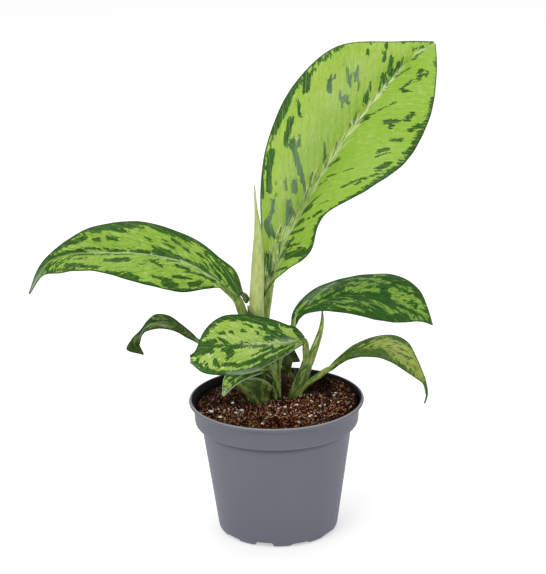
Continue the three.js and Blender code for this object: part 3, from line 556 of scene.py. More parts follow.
class Blade:
    """Where a leaf's blade lies, row by row."""

    def __init__(self, leaf):
        self.face = Vector(leaf["face"])
        ribs = leaf["ribs"]
        self.middle = Spline([Vector(rib[:3]) for rib in ribs])
        last = len(ribs) - 1
        left = []
        right = []
        for index, (x, y, z, left_width, left_lift, right_width, right_lift) in enumerate(ribs):
            normal = self.up(index / last)
            sideways = normal.cross(self.middle.heading(index / last))
            for margin, width, lift, side in (
                (left, left_width, left_lift, 1),
                (right, right_width, right_lift, -1),
            ):
                angle = math.radians(lift)
                out = side * width * math.cos(angle) * sideways
                margin.append(Vector((x, y, z)) + out + width * math.sin(angle) * normal)
        self.left = Spline(left)
        self.right = Spline(right)

    def up(self, share):
        heading = self.middle.heading(share)
        return (self.face - self.face.dot(heading) * heading).normalized()

    def row(self, share):
        centre = self.middle.at(share)
        halves = {}
        for side, margin in ((1, self.left), (-1, self.right)):
            half = margin.at(share) - centre
            lift = side * self.middle.heading(share).cross(half).normalized()
            halves[side] = (half, lift)
        return centre, halves, self.up(share)


def strokes_on_half(strokes, length, width_at, sign):
    """A leaf's strokes in millimetres, with x counted from the midrib towards one margin."""
    placed = []
    for share1, side1, share2, side2, width in strokes:
        follows_margin = min(abs(side1), abs(side2)) > 0.84
        steps = math.ceil(abs(share2 - share1) / 0.05) if follows_margin else 1
        bends = []
        for i in range(steps + 1):
            share, side = mix(share1, share2, i / steps), mix(side1, side2, i / steps)
            bends.append((sign * side * width_at(share, side), share * length))
        for start, end in zip(bends, bends[1:]):
            placed.append((*start, *end, width / 2))
    return placed


def stroke_strength(x, y, strokes, slope, soft=False):
    """How strong the strokes are at a place: over 0.5 inside one. Soft ones fade by their own width."""
    fade_across, fade_along = FADE_ACROSS, FADE_ALONG
    strongest = 0.0
    for x1, y1, x2, y2, radius in strokes:
        if soft:
            fade_across = fade_along = 1.4 * radius
        reach = radius + fade_along
        if not min(y1, y2) - reach < y < max(y1, y2) + reach:
            continue
        off_x, off_y = offset_from_stroke(x, y, x1, y1, x2, y2)
        off = math.hypot(off_x, off_y)
        along = (off_x + slope * off_y) ** 2 / (1 + slope ** 2) / max(off, 0.01) ** 2
        strength = 0.5 + (radius - off) / mix(fade_across, fade_along, along)
        strongest = max(strongest, strength)
    return min(strongest, 1)


def skin_height(place, slope, thinness, seed):
    """How far a blade's skin lies off the straight line from its midrib to its margin."""
    side, width, y, part = place
    reach = abs(side)
    x = reach * width
    height = 4 * reach * (1 - reach) * BLADE_ARCH * width
    height -= GROOVE_DEPTH * thinness * (1 - part) * math.exp(-(x / GROOVE_WIDTH) ** 2)
    across = (y - slope * x) / math.hypot(1, slope)
    quilt = QUILT_HEIGHT * thinness * math.cos(TURN * across / QUILT_SPACING)
    height += quilt * smooth(1, 6, x) * (1 - reach ** 4)
    wave = noise.noise(Vector((side * width / WAVE_LENGTH, y / WAVE_LENGTH, seed)))
    height += WAVE_HEIGHT * thinness * wave * reach
    ripple = math.sin(TURN * y / RIPPLE_LENGTH + seed + (2 if side > 0 else -2))
    return height + RIPPLE_HEIGHT * thinness * ripple * reach ** 5 * smooth(0, 0.15, part * (1 - part))


def skin_paint(leaf, strokes, place, slope):
    """What the leaf's materials read at a place: its strokes, its midrib's band and its margin."""
    side, width, y, part = place
    sign = 1 if side > 0 else -1
    x = abs(side) * width
    dark = stroke_strength(x, y, strokes["dark", sign], slope)
    light = stroke_strength(x, y, strokes["light", sign], slope)
    band_base, band_tip, band_fade = leaf["band"]
    band_width = mix(band_base, band_tip, smooth(0, 1, part))
    # The margin's glint: a painted highlight along the edge, from one share to another.
    glint_from, glint_to, glint_side = leaf.get("glint_margin", (0, 0, 0))
    pale = smooth(glint_from - 0.05, glint_from + 0.1, part) * smooth(glint_to, glint_to - 0.15, part)
    return {
        "dark": max(dark, 1 - light) if leaf["ground"] == "dark" else min(dark, 1 - light),
        "band": 1 - x / band_width - band_fade * smooth(0.35, 0.75, part),
        "inset": width - x,
        # a painted reflection: soft pale strokes where the blade would shine
        "painted_sheen": stroke_strength(x, y, strokes["painted_sheen", sign], slope, soft=True),
        "pale": pale if glint_side in (0, sign) else 0,
        "line": leaf["midline"] * (1 - 0.6 * smooth(0.5, 1, part)),
    }


def map_veins(bm, places, vein_slopes):
    """Two maps in millimetres: one runs across and along the side veins, one across and along the blade."""
    vein_layer = bm.loops.layers.uv.new("vein")
    blade_layer = bm.loops.layers.uv.new("blade")
    for face in bm.faces:
        sign = 1 if sum(places[vert][0] for vert in face.verts) > 0 else -1
        slope = vein_slopes[0 if sign > 0 else 1]
        stretch = math.hypot(1, slope)
        for loop in face.loops:
            x, y = places[loop.vert]
            loop[vein_layer].uv = ((y - slope * sign * x) / stretch, (sign * x + slope * y) / stretch)
            loop[blade_layer].uv = (x, y)


def make_blade(name, leaf, materials, slot):
    blade = Blade(leaf)
    length = blade.middle.even_shares(1)[1]
    widest = max(max(rib[3], rib[5]) for rib in leaf["ribs"])
    rows = max(round(length / BLADE_FACE), 60)
    columns = 2 * max(round(widest / BLADE_FACE), 12)
    shares, length = blade.middle.even_shares(rows)
    lines = [blade.row(share) for share in shares]
    thinness = min(widest / 20, 1)
    seed = len(name) + 3.7 * leaf["ribs"][0][0]

    def width_at(share, side):
        return lines[round(share * rows)][1][1 if side > 0 else -1][0].length

    strokes = {}
    for kind in ("dark", "light", "painted_sheen"):
        for sign in (1, -1):
            strokes[kind, sign] = strokes_on_half(leaf.get(kind, ()), length, width_at, sign)

    bm = bmesh.new()
    bmesh.ops.create_grid(bm, x_segments=columns, y_segments=rows, size=1)
    for kind in ("dark", "band", "inset", "painted_sheen", "pale", "line"):
        bm.verts.layers.float.new(kind)
    weight_layer = bm.verts.layers.deform.new()
    places = {}
    for vert in bm.verts:
        spread = -vert.co.x
        side = spread * (0.55 + 0.45 * abs(spread))
        part = round((vert.co.y + 1) / 2 * rows) / rows
        centre, halves, up = lines[round(part * rows)]
        half, lift = halves[1 if side > 0 else -1]
        slope = leaf["vein_slopes"][0 if side > 0 else 1]
        place = (side, half.length, part * length, part)
        height = skin_height(place, slope, thinness, seed)
        vert.co = centre + half * abs(side) + height * (lift if side else up)
        places[vert] = (side * half.length, part * length)
        for kind, value in skin_paint(leaf, strokes, place, slope).items():
            vert[bm.verts.layers.float[kind]] = value
        vert[weight_layer][0] = 1 - abs(side) ** 3
    map_veins(bm, places, leaf["vein_slopes"])
    piece = finish_piece(f"{name}_blade", bm, materials, name, slot)
    piece.vertex_groups.new(name="body")
    skin = thicken(piece, BLADE_THICKNESS)
    skin.vertex_group = "body"
    skin.thickness_vertex_group = MARGIN_THINNESS
    skin.material_offset = 1
    skin.material_offset_rim = 0


# ---- stalks --------------------------------------------------------------------------------------

CANE_RINGS = (30, 42, 56)   # how far up a cane they are
FRONT = (0, -1, 0)
# A petiole's groove and the wings beside it: angles from its upper side, and shares of its radius.
WING_ANGLE = 0.75
WING_SPREAD = 0.3
WING_RISE = 0.14
STALK_GROOVE_SPREAD = 0.45
STALK_GROOVE_DEPTH = 0.22


def make_tube(name, spine, facing, sides, material, node_name, slot, section=None, row_length=1.5, tip=1.0):
    """A closed tube along a spine. section(angle, share, y) gives its radius as a share of the spine's.

    It is withered from the share `tip` on.
    """
    line = Spline([Vector(point[:3]) for point in spine])
    girth = Spline([Vector((point[3], 0, 0)) for point in spine])
    length = line.even_shares(1)[1]
    rows = max(round(length / row_length), 8)
    shares, length = line.even_shares(rows)
    bm = bmesh.new()
    bmesh.ops.create_grid(bm, x_segments=sides, y_segments=rows, size=1)
    tip_layer = bm.verts.layers.float.new("tip")
    vein_layer = bm.loops.layers.uv.new("vein")
    for face in bm.faces:
        for loop in face.loops:
            angle = (loop.vert.co.x + 1) * math.pi
            row = round((loop.vert.co.y + 1) / 2 * rows)
            radius = girth.at(shares[row]).x
            loop[vein_layer].uv = (angle * radius, row / rows * length)
    facing = Vector(facing)
    for vert in bm.verts:
        angle = (vert.co.x + 1) * math.pi
        row = round((vert.co.y + 1) / 2 * rows)
        share = shares[row]
        heading = line.heading(share)
        front = (facing - facing.dot(heading) * heading).normalized()
        side = heading.cross(front)
        radius = girth.at(share).x
        if section:
            radius *= section(angle, row / rows, row / rows * length)
        vert.co = line.at(share) + radius * (math.cos(angle) * front + math.sin(angle) * side)
        vert[tip_layer] = smooth(tip, tip + 0.12, row / rows)
    bmesh.ops.remove_doubles(bm, verts=bm.verts, dist=1e-4)
    close_ends(bm)
    bmesh.ops.recalc_face_normals(bm, faces=bm.faces)
    finish_piece(name, bm, [material], node_name, slot)


def petiole_spine(leaf):
    """The petiole, and the ridge that it becomes under the midrib."""
    blade = Blade(leaf)
    last = len(leaf["ribs"]) - 1
    ridge = []
    for index, rib in enumerate(leaf["ribs"][:last]):
        radius = mix(leaf["stalk_end"], RIDGE_TIP_RADIUS, math.sqrt(index / last))
        drop = mix(0.3 * radius, radius + RIDGE_DROP, smooth(0, 2, index))
        centre = Vector(rib[:3]) - drop * blade.up(index / last)
        ridge.append((*centre, radius))
    return [*leaf["stalk"], *ridge]


def petiole_section(stalk_share):
    """A petiole has a groove along its upper side, between two low wings that fade upwards."""
    def section(angle, share, y):
        turn = (angle + math.pi) % TURN - math.pi
        wings = WING_RISE * math.exp(-((abs(turn) - WING_ANGLE) / WING_SPREAD) ** 2)
        groove = STALK_GROOVE_DEPTH * math.exp(-(turn / STALK_GROOVE_SPREAD) ** 2)
        fade = 1 - smooth(stalk_share * 0.7, stalk_share * 1.1, share)
        return 1 + fade * (wings - groove)
    return section


def make_petiole(name, leaf, material, slot):
    spine = petiole_spine(leaf)
    stalk_share = (len(leaf["stalk"]) - 1) / (len(spine) - 1)
    section = petiole_section(stalk_share * 0.6)
    make_tube(f"{name}_petiole", spine, leaf["face"], 20, material, name, slot, section)


def rolled_section(turns, lap):
    """A rolled leaf's section steps out by `lap` at its free margin, which winds up the roll."""
    def section(angle, share, y):
        turn = (angle - turns * TURN * share - 0.9) % TURN / TURN
        step = smooth(0, 0.05, turn)
        return 1 - lap * (1 - step) - lap * 0.5 * turn
    return section


def cane_section(angle, share, y):
    """A cane is uneven, with a fine ring where each old leaf sat."""
    rings = sum(math.exp(-((y - ring) / 0.7) ** 2) for ring in CANE_RINGS)
    bumps = noise.noise(Vector((math.cos(angle), math.sin(angle), y / 14)))
    return 1 - 0.04 * rings + 0.035 * bumps


# ---- materials -----------------------------------------------------------------------------------


def colour(code):
    """A hex colour as Blender's linear one."""
    channels = [int(code[i:i + 2], 16) / 255 for i in (1, 3, 5)]
    levels = [c / 12.92 if c < 0.04045 else ((c + 0.055) / 1.055) ** 2.4 for c in channels]
    return (*levels, 1)


def linear(shared, own):
    """A look's values over the shared ones, with their hex colours as Blender's."""
    values = {**shared, **own}
    return {name: colour(value) if isinstance(value, str) else value for name, value in values.items()}


class Graph:
    """Short calls for the nodes that the materials use."""

    def __init__(self, tree):
        self.tree = tree

    def link(self, source, socket):
        self.tree.links.new(source, socket)

    def add(self, kind, inputs=None, **settings):
        made = self.tree.nodes.new("ShaderNode" + kind)
        for name, value in settings.items():
            setattr(made, name, value)
        for name, value in (inputs or {}).items():
            socket = made.inputs[name]
            if isinstance(value, bpy.types.NodeSocket):
                self.link(value, socket)
            else:
                socket.default_value = value
        return made

    def math(self, operation, a, b=0.0):
        return self.add("Math", {0: a, 1: b}, operation=operation).outputs[0]

    def times(self, a, b):
        return self.math("MULTIPLY", a, b)

    def plus(self, a, b):
        return self.math("ADD", a, b)

    def minus(self, a, b):
        return self.math("SUBTRACT", a, b)

    def dot(self, vector, direction):
        made = self.add("VectorMath", {0: vector, 1: direction}, operation="DOT_PRODUCT")
        return made.outputs["Value"]

    def remap(self, value, low, high, to_low=0.0, to_high=1.0):
        ends = {"Value": value, "From Min": low, "From Max": high, "To Min": to_low, "To Max": to_high}
        return self.add("MapRange", ends, interpolation_type="SMOOTHSTEP").outputs["Result"]

    def blend(self, factor, a, b, kind="MIX"):
        made = self.add("Mix", {0: factor, 6: a, 7: b}, data_type="RGBA", blend_type=kind)
        return made.outputs[2]

    def stretch(self, vector, scale, shift=(0, 0, 0)):
        made = self.add("Mapping", {"Vector": vector, "Scale": scale, "Location": shift})
        return made.outputs["Vector"]

    def noise(self, vector, scale=1.0, detail=2.0, rough=0.5):
        values = {"Vector": vector, "Scale": scale, "Detail": detail, "Roughness": rough}
        return self.add("TexNoise", values).outputs["Fac"]

    def attribute(self, name):
        return self.add("Attribute", attribute_name=name).outputs["Fac"]

    def uv(self, name):
        return self.add("UVMap", uv_map=name).outputs["UV"]

    def place(self):
        return self.add("TexCoord").outputs["Object"]

    def parts(self, vector):
        return self.add("SeparateXYZ", {"Vector": vector}).outputs


def new_group(name, inputs, outputs):
    """A node group with named sockets, and the graph inside it."""
    tree = bpy.data.node_groups.new(name, "ShaderNodeTree")
    for socket, kind, default in inputs:
        made = tree.interface.new_socket(socket, in_out="INPUT", socket_type="NodeSocket" + kind)
        if default is not None:
            made.default_value = default
    for socket, kind in outputs:
        tree.interface.new_socket(socket, in_out="OUTPUT", socket_type="NodeSocket" + kind)
    graph = Graph(tree)
    return tree, graph, tree.nodes.new("NodeGroupInput"), tree.nodes.new("NodeGroupOutput")


def build_streaks_group():
    """Cells drawn out along the veins: each cell's own value, soft streaks, and the lines between cells."""
    tree, graph, given, out = new_group(
        "vein streaks",
        [("Place", "Vector", None), ("Width", "Float", 0.95), ("Length", "Float", 4.2)],
        [("Cell", "Float"), ("Streak", "Float"), ("Line", "Float")],
    )
    thin = graph.math("DIVIDE", 1.0, given.outputs["Width"])
    long = graph.math("DIVIDE", 1.0, given.outputs["Length"])
    scale = graph.add("CombineXYZ", {"X": thin, "Y": long, "Z": 1.0}).outputs[0]
    place = graph.add("VectorMath", {0: given.outputs["Place"], 1: scale}, operation="MULTIPLY").outputs[0]
    wobble = graph.add("TexNoise", {"Vector": given.outputs["Place"], "Scale": 0.35, "Detail": 2.0})
    bent = graph.add("VectorMath", {0: wobble.outputs["Color"], 1: (0.5, 0.5, 0.5)}, operation="SUBTRACT")
    shift = graph.add("VectorMath", {0: bent.outputs[0], "Scale": 1.6}, operation="SCALE").outputs[0]
    place = graph.add("VectorMath", {0: place, 1: shift}, operation="ADD").outputs[0]
    cells = graph.add("TexVoronoi", {"Vector": place, "Scale": 1.0})
    value = graph.add("SeparateColor", {"Color": cells.outputs["Color"]}).outputs[0]
    edge = graph.add("TexVoronoi", {"Vector": place, "Scale": 1.0}, feature="DISTANCE_TO_EDGE")
    line = graph.remap(edge.outputs["Distance"], 0.0, 0.12, 1.0, 0.0)
    graph.link(value, out.inputs["Cell"])
    graph.link(graph.noise(place, 0.8, 3.0, 0.6), out.inputs["Streak"])
    graph.link(line, out.inputs["Line"])
    return tree


def build_patches_group(streaks):
    """Turns the soft strength of the strokes into crisp patches whose ends fray along the veins."""
    tree, graph, given, out = new_group(
        "frayed patches",
        [
            ("Place", "Vector", None), ("Field", "Float", 0.0), ("Fray", "Float", 0.3),
            ("Crisp", "Float", 0.06), ("Width", "Float", 0.95), ("Length", "Float", 4.2),
        ],
        [("Mask", "Float"), ("Cell", "Float"), ("Streak", "Float"), ("Line", "Float")],
    )
    fine = graph.add("Group", node_tree=streaks)
    for name in ("Place", "Width", "Length"):
        graph.link(given.outputs[name], fine.inputs[name])
    cell = graph.minus(fine.outputs["Cell"], 0.5)
    streak = graph.minus(fine.outputs["Streak"], 0.5)
    uneven = graph.plus(cell, graph.times(streak, 1.8))
    uneven = graph.times(uneven, given.outputs["Fray"])
    field = graph.plus(given.outputs["Field"], uneven)
    low = graph.minus(0.5, given.outputs["Crisp"])
    high = graph.plus(0.5, given.outputs["Crisp"])
    graph.link(graph.remap(field, low, high), out.inputs["Mask"])
    for name in ("Cell", "Streak", "Line"):
        graph.link(fine.outputs[name], out.inputs[name])
    return tree


def new_material(name, rough=0.5, **values):
    """A material with its constant values. An underscore in a value's name stands for a space."""
    material = bpy.data.materials.new(name)
    material.use_nodes = True
    shader = material.node_tree.nodes["Principled BSDF"]
    shader.inputs["Roughness"].default_value = rough
    for socket, value in values.items():
        shader.inputs[socket.replace("_", " ")].default_value = value
    return material, Graph(material.node_tree), shader


def connect(graph, shader, base, height=None, bump=0.0001, strength=1.0, rough=None):
    graph.link(base, shader.inputs["Base Color"])
    if rough:
        graph.link(rough, shader.inputs["Roughness"])
    if height:
        made = graph.add("Bump", {"Height": height, "Distance": bump, "Strength": strength})
        graph.link(made.outputs["Normal"], shader.inputs["Normal"])


def place_patches(graph, patches, field, fray, crisp, size=(0.95, 4.2)):
    pattern = graph.add("Group", node_tree=patches)
    graph.link(graph.uv("vein"), pattern.inputs["Place"])
    graph.link(field, pattern.inputs["Field"])
    pattern.inputs["Fray"].default_value = fray
    pattern.inputs["Crisp"].default_value = crisp
    pattern.inputs["Width"].default_value, pattern.inputs["Length"].default_value = size
    return pattern.outputs


def leaf_greens(graph, pattern, tones, on_veins, on_blade, cloud, painted_sheen):
    """The light and the dark green of a leaf, each with finer streaks along the veins. Painted shade darkens
    the right half, and a painted reflection turns the dark green grey green.
    """
    light = graph.blend(graph.remap(cloud, 0.35, 0.65), tones["light"], tones["light2"])
    light = graph.blend(graph.remap(pattern["Cell"], 0.0, 1.0, 0.0, 0.3), light, tones["fleck"])
    # Painted shade: the right half of the blade turns a darker green, and its dark patches keep to the darker
    # of the two dark greens.
    right = graph.remap(graph.parts(on_blade)[0], 4.0, -4.0, 0.0, tones["right_shade_share"])
    light = graph.blend(right, light, tones["right"])
    for tone, amount, wide, long, low, shift in (
        ("mid", tones["mids"], 0.8, 0.16, 0.54, (0, 0, 0)),
        ("bright", tones["brights"], 1.0, 0.14, 0.58, (40, 9, 0)),
    ):
        streak = graph.noise(graph.stretch(on_veins, (wide, long, 1), shift), 1.0, 4.0, 0.62)
        streak = graph.remap(streak, low, low + 0.05, 0.0, amount)
        light = graph.blend(streak, light, tones[tone])
    deep = graph.times(graph.remap(pattern["Streak"], 0.35, 0.7), graph.remap(right, 0.0, 0.4, 1.0, 0.25))
    deep = graph.blend(deep, tones["dark"], tones["dark2"])
    strand = graph.noise(graph.stretch(on_veins, (1.2, 0.1, 1), (5, 70, 0)), 1.0, 4.0, 0.65)
    deep = graph.blend(graph.remap(strand, 0.56, 0.64, 0.0, tones["strands"]), deep, tones["mid"])
    # A painted reflection turns the dark green grey green where the blade would shine.
    return light, graph.blend(graph.times(painted_sheen, 0.8), deep, tones["painted_sheen_and_strands"])


def leaf_side_veins(graph, pattern, tones, on_veins, base):
    """Fine pale lines along the side veins, and fainter ones between the cells."""
    turn = graph.times(graph.parts(on_veins)[0], TURN / QUILT_SPACING)
    turn = graph.plus(turn, graph.times(pattern["Streak"], 1.2))
    line = graph.remap(graph.math("COSINE", turn), -1.0, -0.93, 1.0, 0.0)
    base = graph.blend(graph.times(line, 0.3), base, tones["vein"])
    return graph.blend(graph.times(pattern["Line"], 0.12), base, tones["vein"])


def leaf_midrib(graph, pattern, tones, on_blade, base):
    """A ragged pale band of strands that fan towards the tip, and the thin line in its middle."""
    across, along = graph.parts(on_blade)[:2]
    from_midrib = graph.math("ABSOLUTE", across)
    fanned = graph.minus(from_midrib, graph.times(along, 0.25))
    half = graph.times(graph.math("GREATER_THAN", across, 0.0), 7.0)
    on_band = graph.add("CombineXYZ", {"X": fanned, "Y": graph.times(along, 0.07), "Z": half}).outputs[0]
    strand = graph.remap(graph.noise(on_band, 1.0, 3.0, 0.6), 0.36, 0.64)
    strand_tone = graph.noise(graph.stretch(on_band, (1.6, 1.5, 1), (7, 3, 2)), 1.0, 3.0)
    torn = graph.remap(strand_tone, 0.46, 0.42, 0.0, tones["torn"])
    torn = graph.times(torn, graph.remap(graph.attribute("band"), -0.3, 0.4))
    # Dark torn strands in the band, in the grey green that the painted reflection also uses.
    base = graph.blend(torn, base, tones["painted_sheen_and_strands"])
    ragged = graph.times(graph.minus(strand, 0.5), 1.5)
    band = graph.remap(graph.plus(graph.attribute("band"), ragged), 0.38, 0.58)
    under_dark = graph.minus(1.0, graph.times(pattern["Mask"], tones["band_under"]))
    band = graph.times(graph.times(band, under_dark), tones["band_strength"])
    cream = graph.blend(graph.remap(strand_tone, 0.44, 0.54), tones["pale2"], tones["pale"])
    base = graph.blend(band, base, cream)
    midline = graph.times(graph.remap(from_midrib, 0.2, 0.55, 1.0, 0.0), graph.attribute("line"))
    midline = graph.times(midline, graph.remap(strand_tone, 0.3, 0.5, 0.4, 1.0))
    return graph.blend(midline, base, tones["pale"]), strand


def leaf_margin(graph, pattern, tones, base):
    """A dark rim round the blade, and the pale line on it, a painted highlight, where the leaf has a margin
    glint.
    """
    inset = graph.plus(graph.attribute("inset"), graph.times(pattern["Streak"], 0.5))
    base = graph.blend(graph.remap(inset, 0.9, 1.4, tones["rim_strength"], 0.0), base, tones["rim"])
    # Painted highlight along the edge.
    painted_glint = graph.times(graph.remap(inset, 0.6, 1.1, 1.0, 0.0), graph.attribute("pale"))
    return graph.blend(painted_glint, base, tones["painted_glint"])


def leaf_material(name, patches, tones):
    """The upper side: light green with dark frayed patches, under its veins, midrib, margin and a painted
    reflection.
    """
    gloss = {"Specular_IOR_Level": 0.14, "Coat_Weight": 0.03, "Coat_Roughness": 0.3}
    material, graph, shader = new_material(name, tones["rough"], **gloss)
    pattern = place_patches(graph, patches, graph.attribute("dark"), tones["fray"], 0.07, tones["teeth"])
    on_veins = graph.uv("vein")
    on_blade = graph.uv("blade")
    cloud = graph.noise(graph.stretch(on_blade, (0.045, 0.03, 1)), 1.0, 3.0)
    # How strong the painted reflection is, broken up by the cloud.
    painted_sheen = graph.times(graph.attribute("painted_sheen"), graph.remap(cloud, 0.2, 0.7, 0.6, 1.0))
    light, deep = leaf_greens(graph, pattern, tones, on_veins, on_blade, cloud, painted_sheen)
    base = graph.blend(pattern["Mask"], light, deep)
    base = leaf_side_veins(graph, pattern, tones, on_veins, base)
    base, strand = leaf_midrib(graph, pattern, tones, on_blade, base)
    base = leaf_margin(graph, pattern, tones, base)
    # A pale wash of painted reflection where the blade would shine.
    base = graph.blend(graph.times(painted_sheen, tones["painted_sheen_strength"]), base, tones["painted_sheen"])
    rough = graph.remap(pattern["Streak"], 0.2, 0.8, tones["rough"] - 0.05, tones["rough"] + 0.08)
    height = graph.minus(graph.times(strand, 0.5), graph.times(pattern["Line"], 0.3))
    connect(graph, shader, base, height, 0.0002, 0.5, rough)
    return material


def underside_material(name, patches, tones):
    """The lower side: paler and duller, with the patches showing through."""
    material, graph, shader = new_material(name, 0.58)
    pattern = place_patches(graph, patches, graph.attribute("dark"), tones["fray"], 0.14, tones["teeth"])
    tone = graph.remap(pattern["Streak"], 0.3, 0.7)
    light = graph.blend(tone, tones["under"], tones["under2"])
    base = graph.blend(graph.times(pattern["Mask"], 0.75), light, tones["under_dark"])
    base = graph.blend(graph.times(pattern["Line"], 0.2), base, tones["pale"])
    connect(graph, shader, base, pattern["Line"], 0.0001, 0.5)
    return material


def stalk_material(name, patches, tones):
    """Stems and petioles: pale green with olive mottling drawn out along the stem."""
    gloss = {"Specular_IOR_Level": 0.3, "Subsurface_Weight": 0.08, "Subsurface_Scale": 0.002}
    material, graph, shader = new_material(name, 0.45, **gloss)
    place = graph.uv("vein")
    cloud = graph.noise(graph.stretch(place, (0.2, 0.07, 1)), 1.0, 4.0, 0.6)
    field = graph.remap(cloud, tones["least"], tones["most"])
    pattern = place_patches(graph, patches, field, 0.3, tones["crisp"])
    light = graph.remap(pattern["Streak"], 0.3, 0.7)
    light = graph.blend(light, tones["light"], tones["light2"])
    base = graph.blend(graph.times(pattern["Mask"], tones["mottle"]), light, tones["dark"])
    ribs = graph.noise(graph.stretch(place, (1.5, 0.03, 1)), 1.0, 2.0)
    base = graph.blend(graph.remap(ribs, 0.5, 0.8, 0.0, 0.35), base, tones["rib"])
    spots = graph.noise(graph.stretch(place, (0.9, 0.55, 1), (3, 5, 0)), 1.0, 1.0)
    base = graph.blend(graph.remap(spots, 0.64, 0.7, 0.0, tones["spots"]), base, tones["spot"])
    base = graph.blend(graph.times(graph.attribute("rim"), 0.85), base, tones["edge"])
    base = graph.blend(graph.times(graph.attribute("tip"), 0.8), base, tones["withered"])
    connect(graph, shader, base, ribs, 0.0003, 0.5)
    return material


# What the leaf materials need. Each look adds what differs from the shared values.
# Among these values, the pale wash and the grey green over the dark patches make a painted reflection, the
# pale line on the margin is a painted highlight, and the right half's colour is painted shade.
SHARED_LEAF_TONES = {
    "mids": 0.75, "brights": 0.5, "strands": 0.8, "painted_sheen_strength": 0.2, "band_strength": 0.25,
    "band_under": 0.85, "torn": 0.2, "teeth": (0.95, 4.2), "right": "#84b22a", "right_shade_share": 0.0,
    "under": "#95b162", "under2": "#86a552", "under_dark": "#4a7040", "painted_glint": "#b6cc9c",
    "rim_strength": 0.8, "fray": 0.9, "dark": "#1f4a0a", "dark2": "#2f6018", "painted_sheen": "#bccab4",
    "rim": "#1e420e",
}
LEAF_TONES = {
    "lime": {
        "light": "#98bc3e", "light2": "#a6c652", "fleck": "#8ab032", "mid": "#6c9a34", "mids": 0.35,
        "bright": "#c8da8c", "brights": 0.45, "dark": "#22500c", "dark2": "#3a6c2a", "strands": 0.3,
        "vein": "#b2cc78", "pale": "#e0eab4", "pale2": "#bad27c", "rim": "#2c5420", "rim_strength": 0.95,
        "painted_sheen": "#c8d4b4", "painted_sheen_strength": 0.13, "band_strength": 0.95, "band_under": 0.45,
        "under": "#a3bf6b", "under2": "#93b35a", "under_dark": "#557f49", "rough": 0.45, "fray": 0.58,
        "torn": 0.7, "teeth": (1.0, 4.6), "painted_sheen_and_strands": "#5c7c62", "right_shade_share": 0.45,
    },
    "variegated": {
        "light": "#8ab038", "light2": "#9cbe50", "fleck": "#7fa636", "mid": "#5f8c2c", "mids": 0.7,
        "bright": "#c2d888", "brights": 0.6, "strands": 0.55, "vein": "#9cbc62", "pale": "#d4e0aa",
        "pale2": "#86a45c", "rim_strength": 0.9, "painted_sheen_strength": 0.25, "band_strength": 0.6,
        "rough": 0.4, "fray": 0.6, "torn": 0.3, "teeth": (1.1, 4.2), "painted_sheen_and_strands": "#3c6a2c",
    },
    "fresh": {
        "light": "#9cbe4a", "light2": "#b2ce6c", "fleck": "#88ae3a", "mid": "#5f8c2c", "mids": 0.5,
        "bright": "#dceab0", "brights": 0.75, "strands": 0.5, "vein": "#a8c66c", "pale": "#dce6b8",
        "pale2": "#94b068", "rim_strength": 0.9, "painted_sheen_strength": 0.3, "band_strength": 0.65,
        "band_under": 0.7, "rough": 0.4, "fray": 0.5, "torn": 0.6, "teeth": (1.0, 3.6),
        "painted_sheen_and_strands": "#54785c",
    },
    "dark": {
        "light": "#7ea53a", "light2": "#90b44e", "fleck": "#5f8c32", "mid": "#4c7c26",
        "bright": "#a8c468", "dark": "#1e480c", "dark2": "#2e5e1a", "vein": "#5c8840", "pale": "#7c9c5a",
        "pale2": "#4c7440", "rim": "#244614", "rim_strength": 0.7, "painted_sheen": "#a8bca6", "under": "#7f9c58",
        "under2": "#728f4c", "under_dark": "#42663a", "rough": 0.38, "teeth": (1.1, 4.2),
        "painted_sheen_and_strands": "#42683a",
    },
    "muted": {
        "light": "#748c48", "light2": "#84985c", "fleck": "#5c7838", "mid": "#486626",
        "bright": "#a0b078", "brights": 0.4, "dark": "#2c4a14", "dark2": "#42602a", "vein": "#5c7840",
        "pale": "#8c9c6a", "pale2": "#5c7444", "rim": "#2a3c18", "painted_sheen": "#a8b496", "band_strength": 0.2,
        "under": "#7c9058", "under2": "#6e844a", "under_dark": "#4a6038", "rough": 0.42,
        "painted_sheen_and_strands": "#4c643c",
    },
    "olive": {
        "light": "#94a548", "light2": "#a6b35e", "fleck": "#7c9038", "mid": "#5e7c2c",
        "bright": "#bcc67c", "dark": "#355818", "dark2": "#4b6e2a", "vein": "#7c9048", "pale": "#8c9c58",
        "pale2": "#66803e", "rim": "#33481a", "painted_sheen": "#b4b890", "under": "#8a9c58", "under2": "#7c8f4c",
        "under_dark": "#4a623a", "rough": 0.4, "fray": 1.0, "painted_sheen_and_strands": "#66804c",
    },
}
LEAF_SLOTS = {"olive": "variegated", "fresh": "variegated", "muted": "dark"}
SHARED_STALK_TONES = {
    "least": 0.3, "most": 0.7, "spots": 0.5, "crisp": 0.3, "mottle": 0.9, "withered": "#564a2c",
}
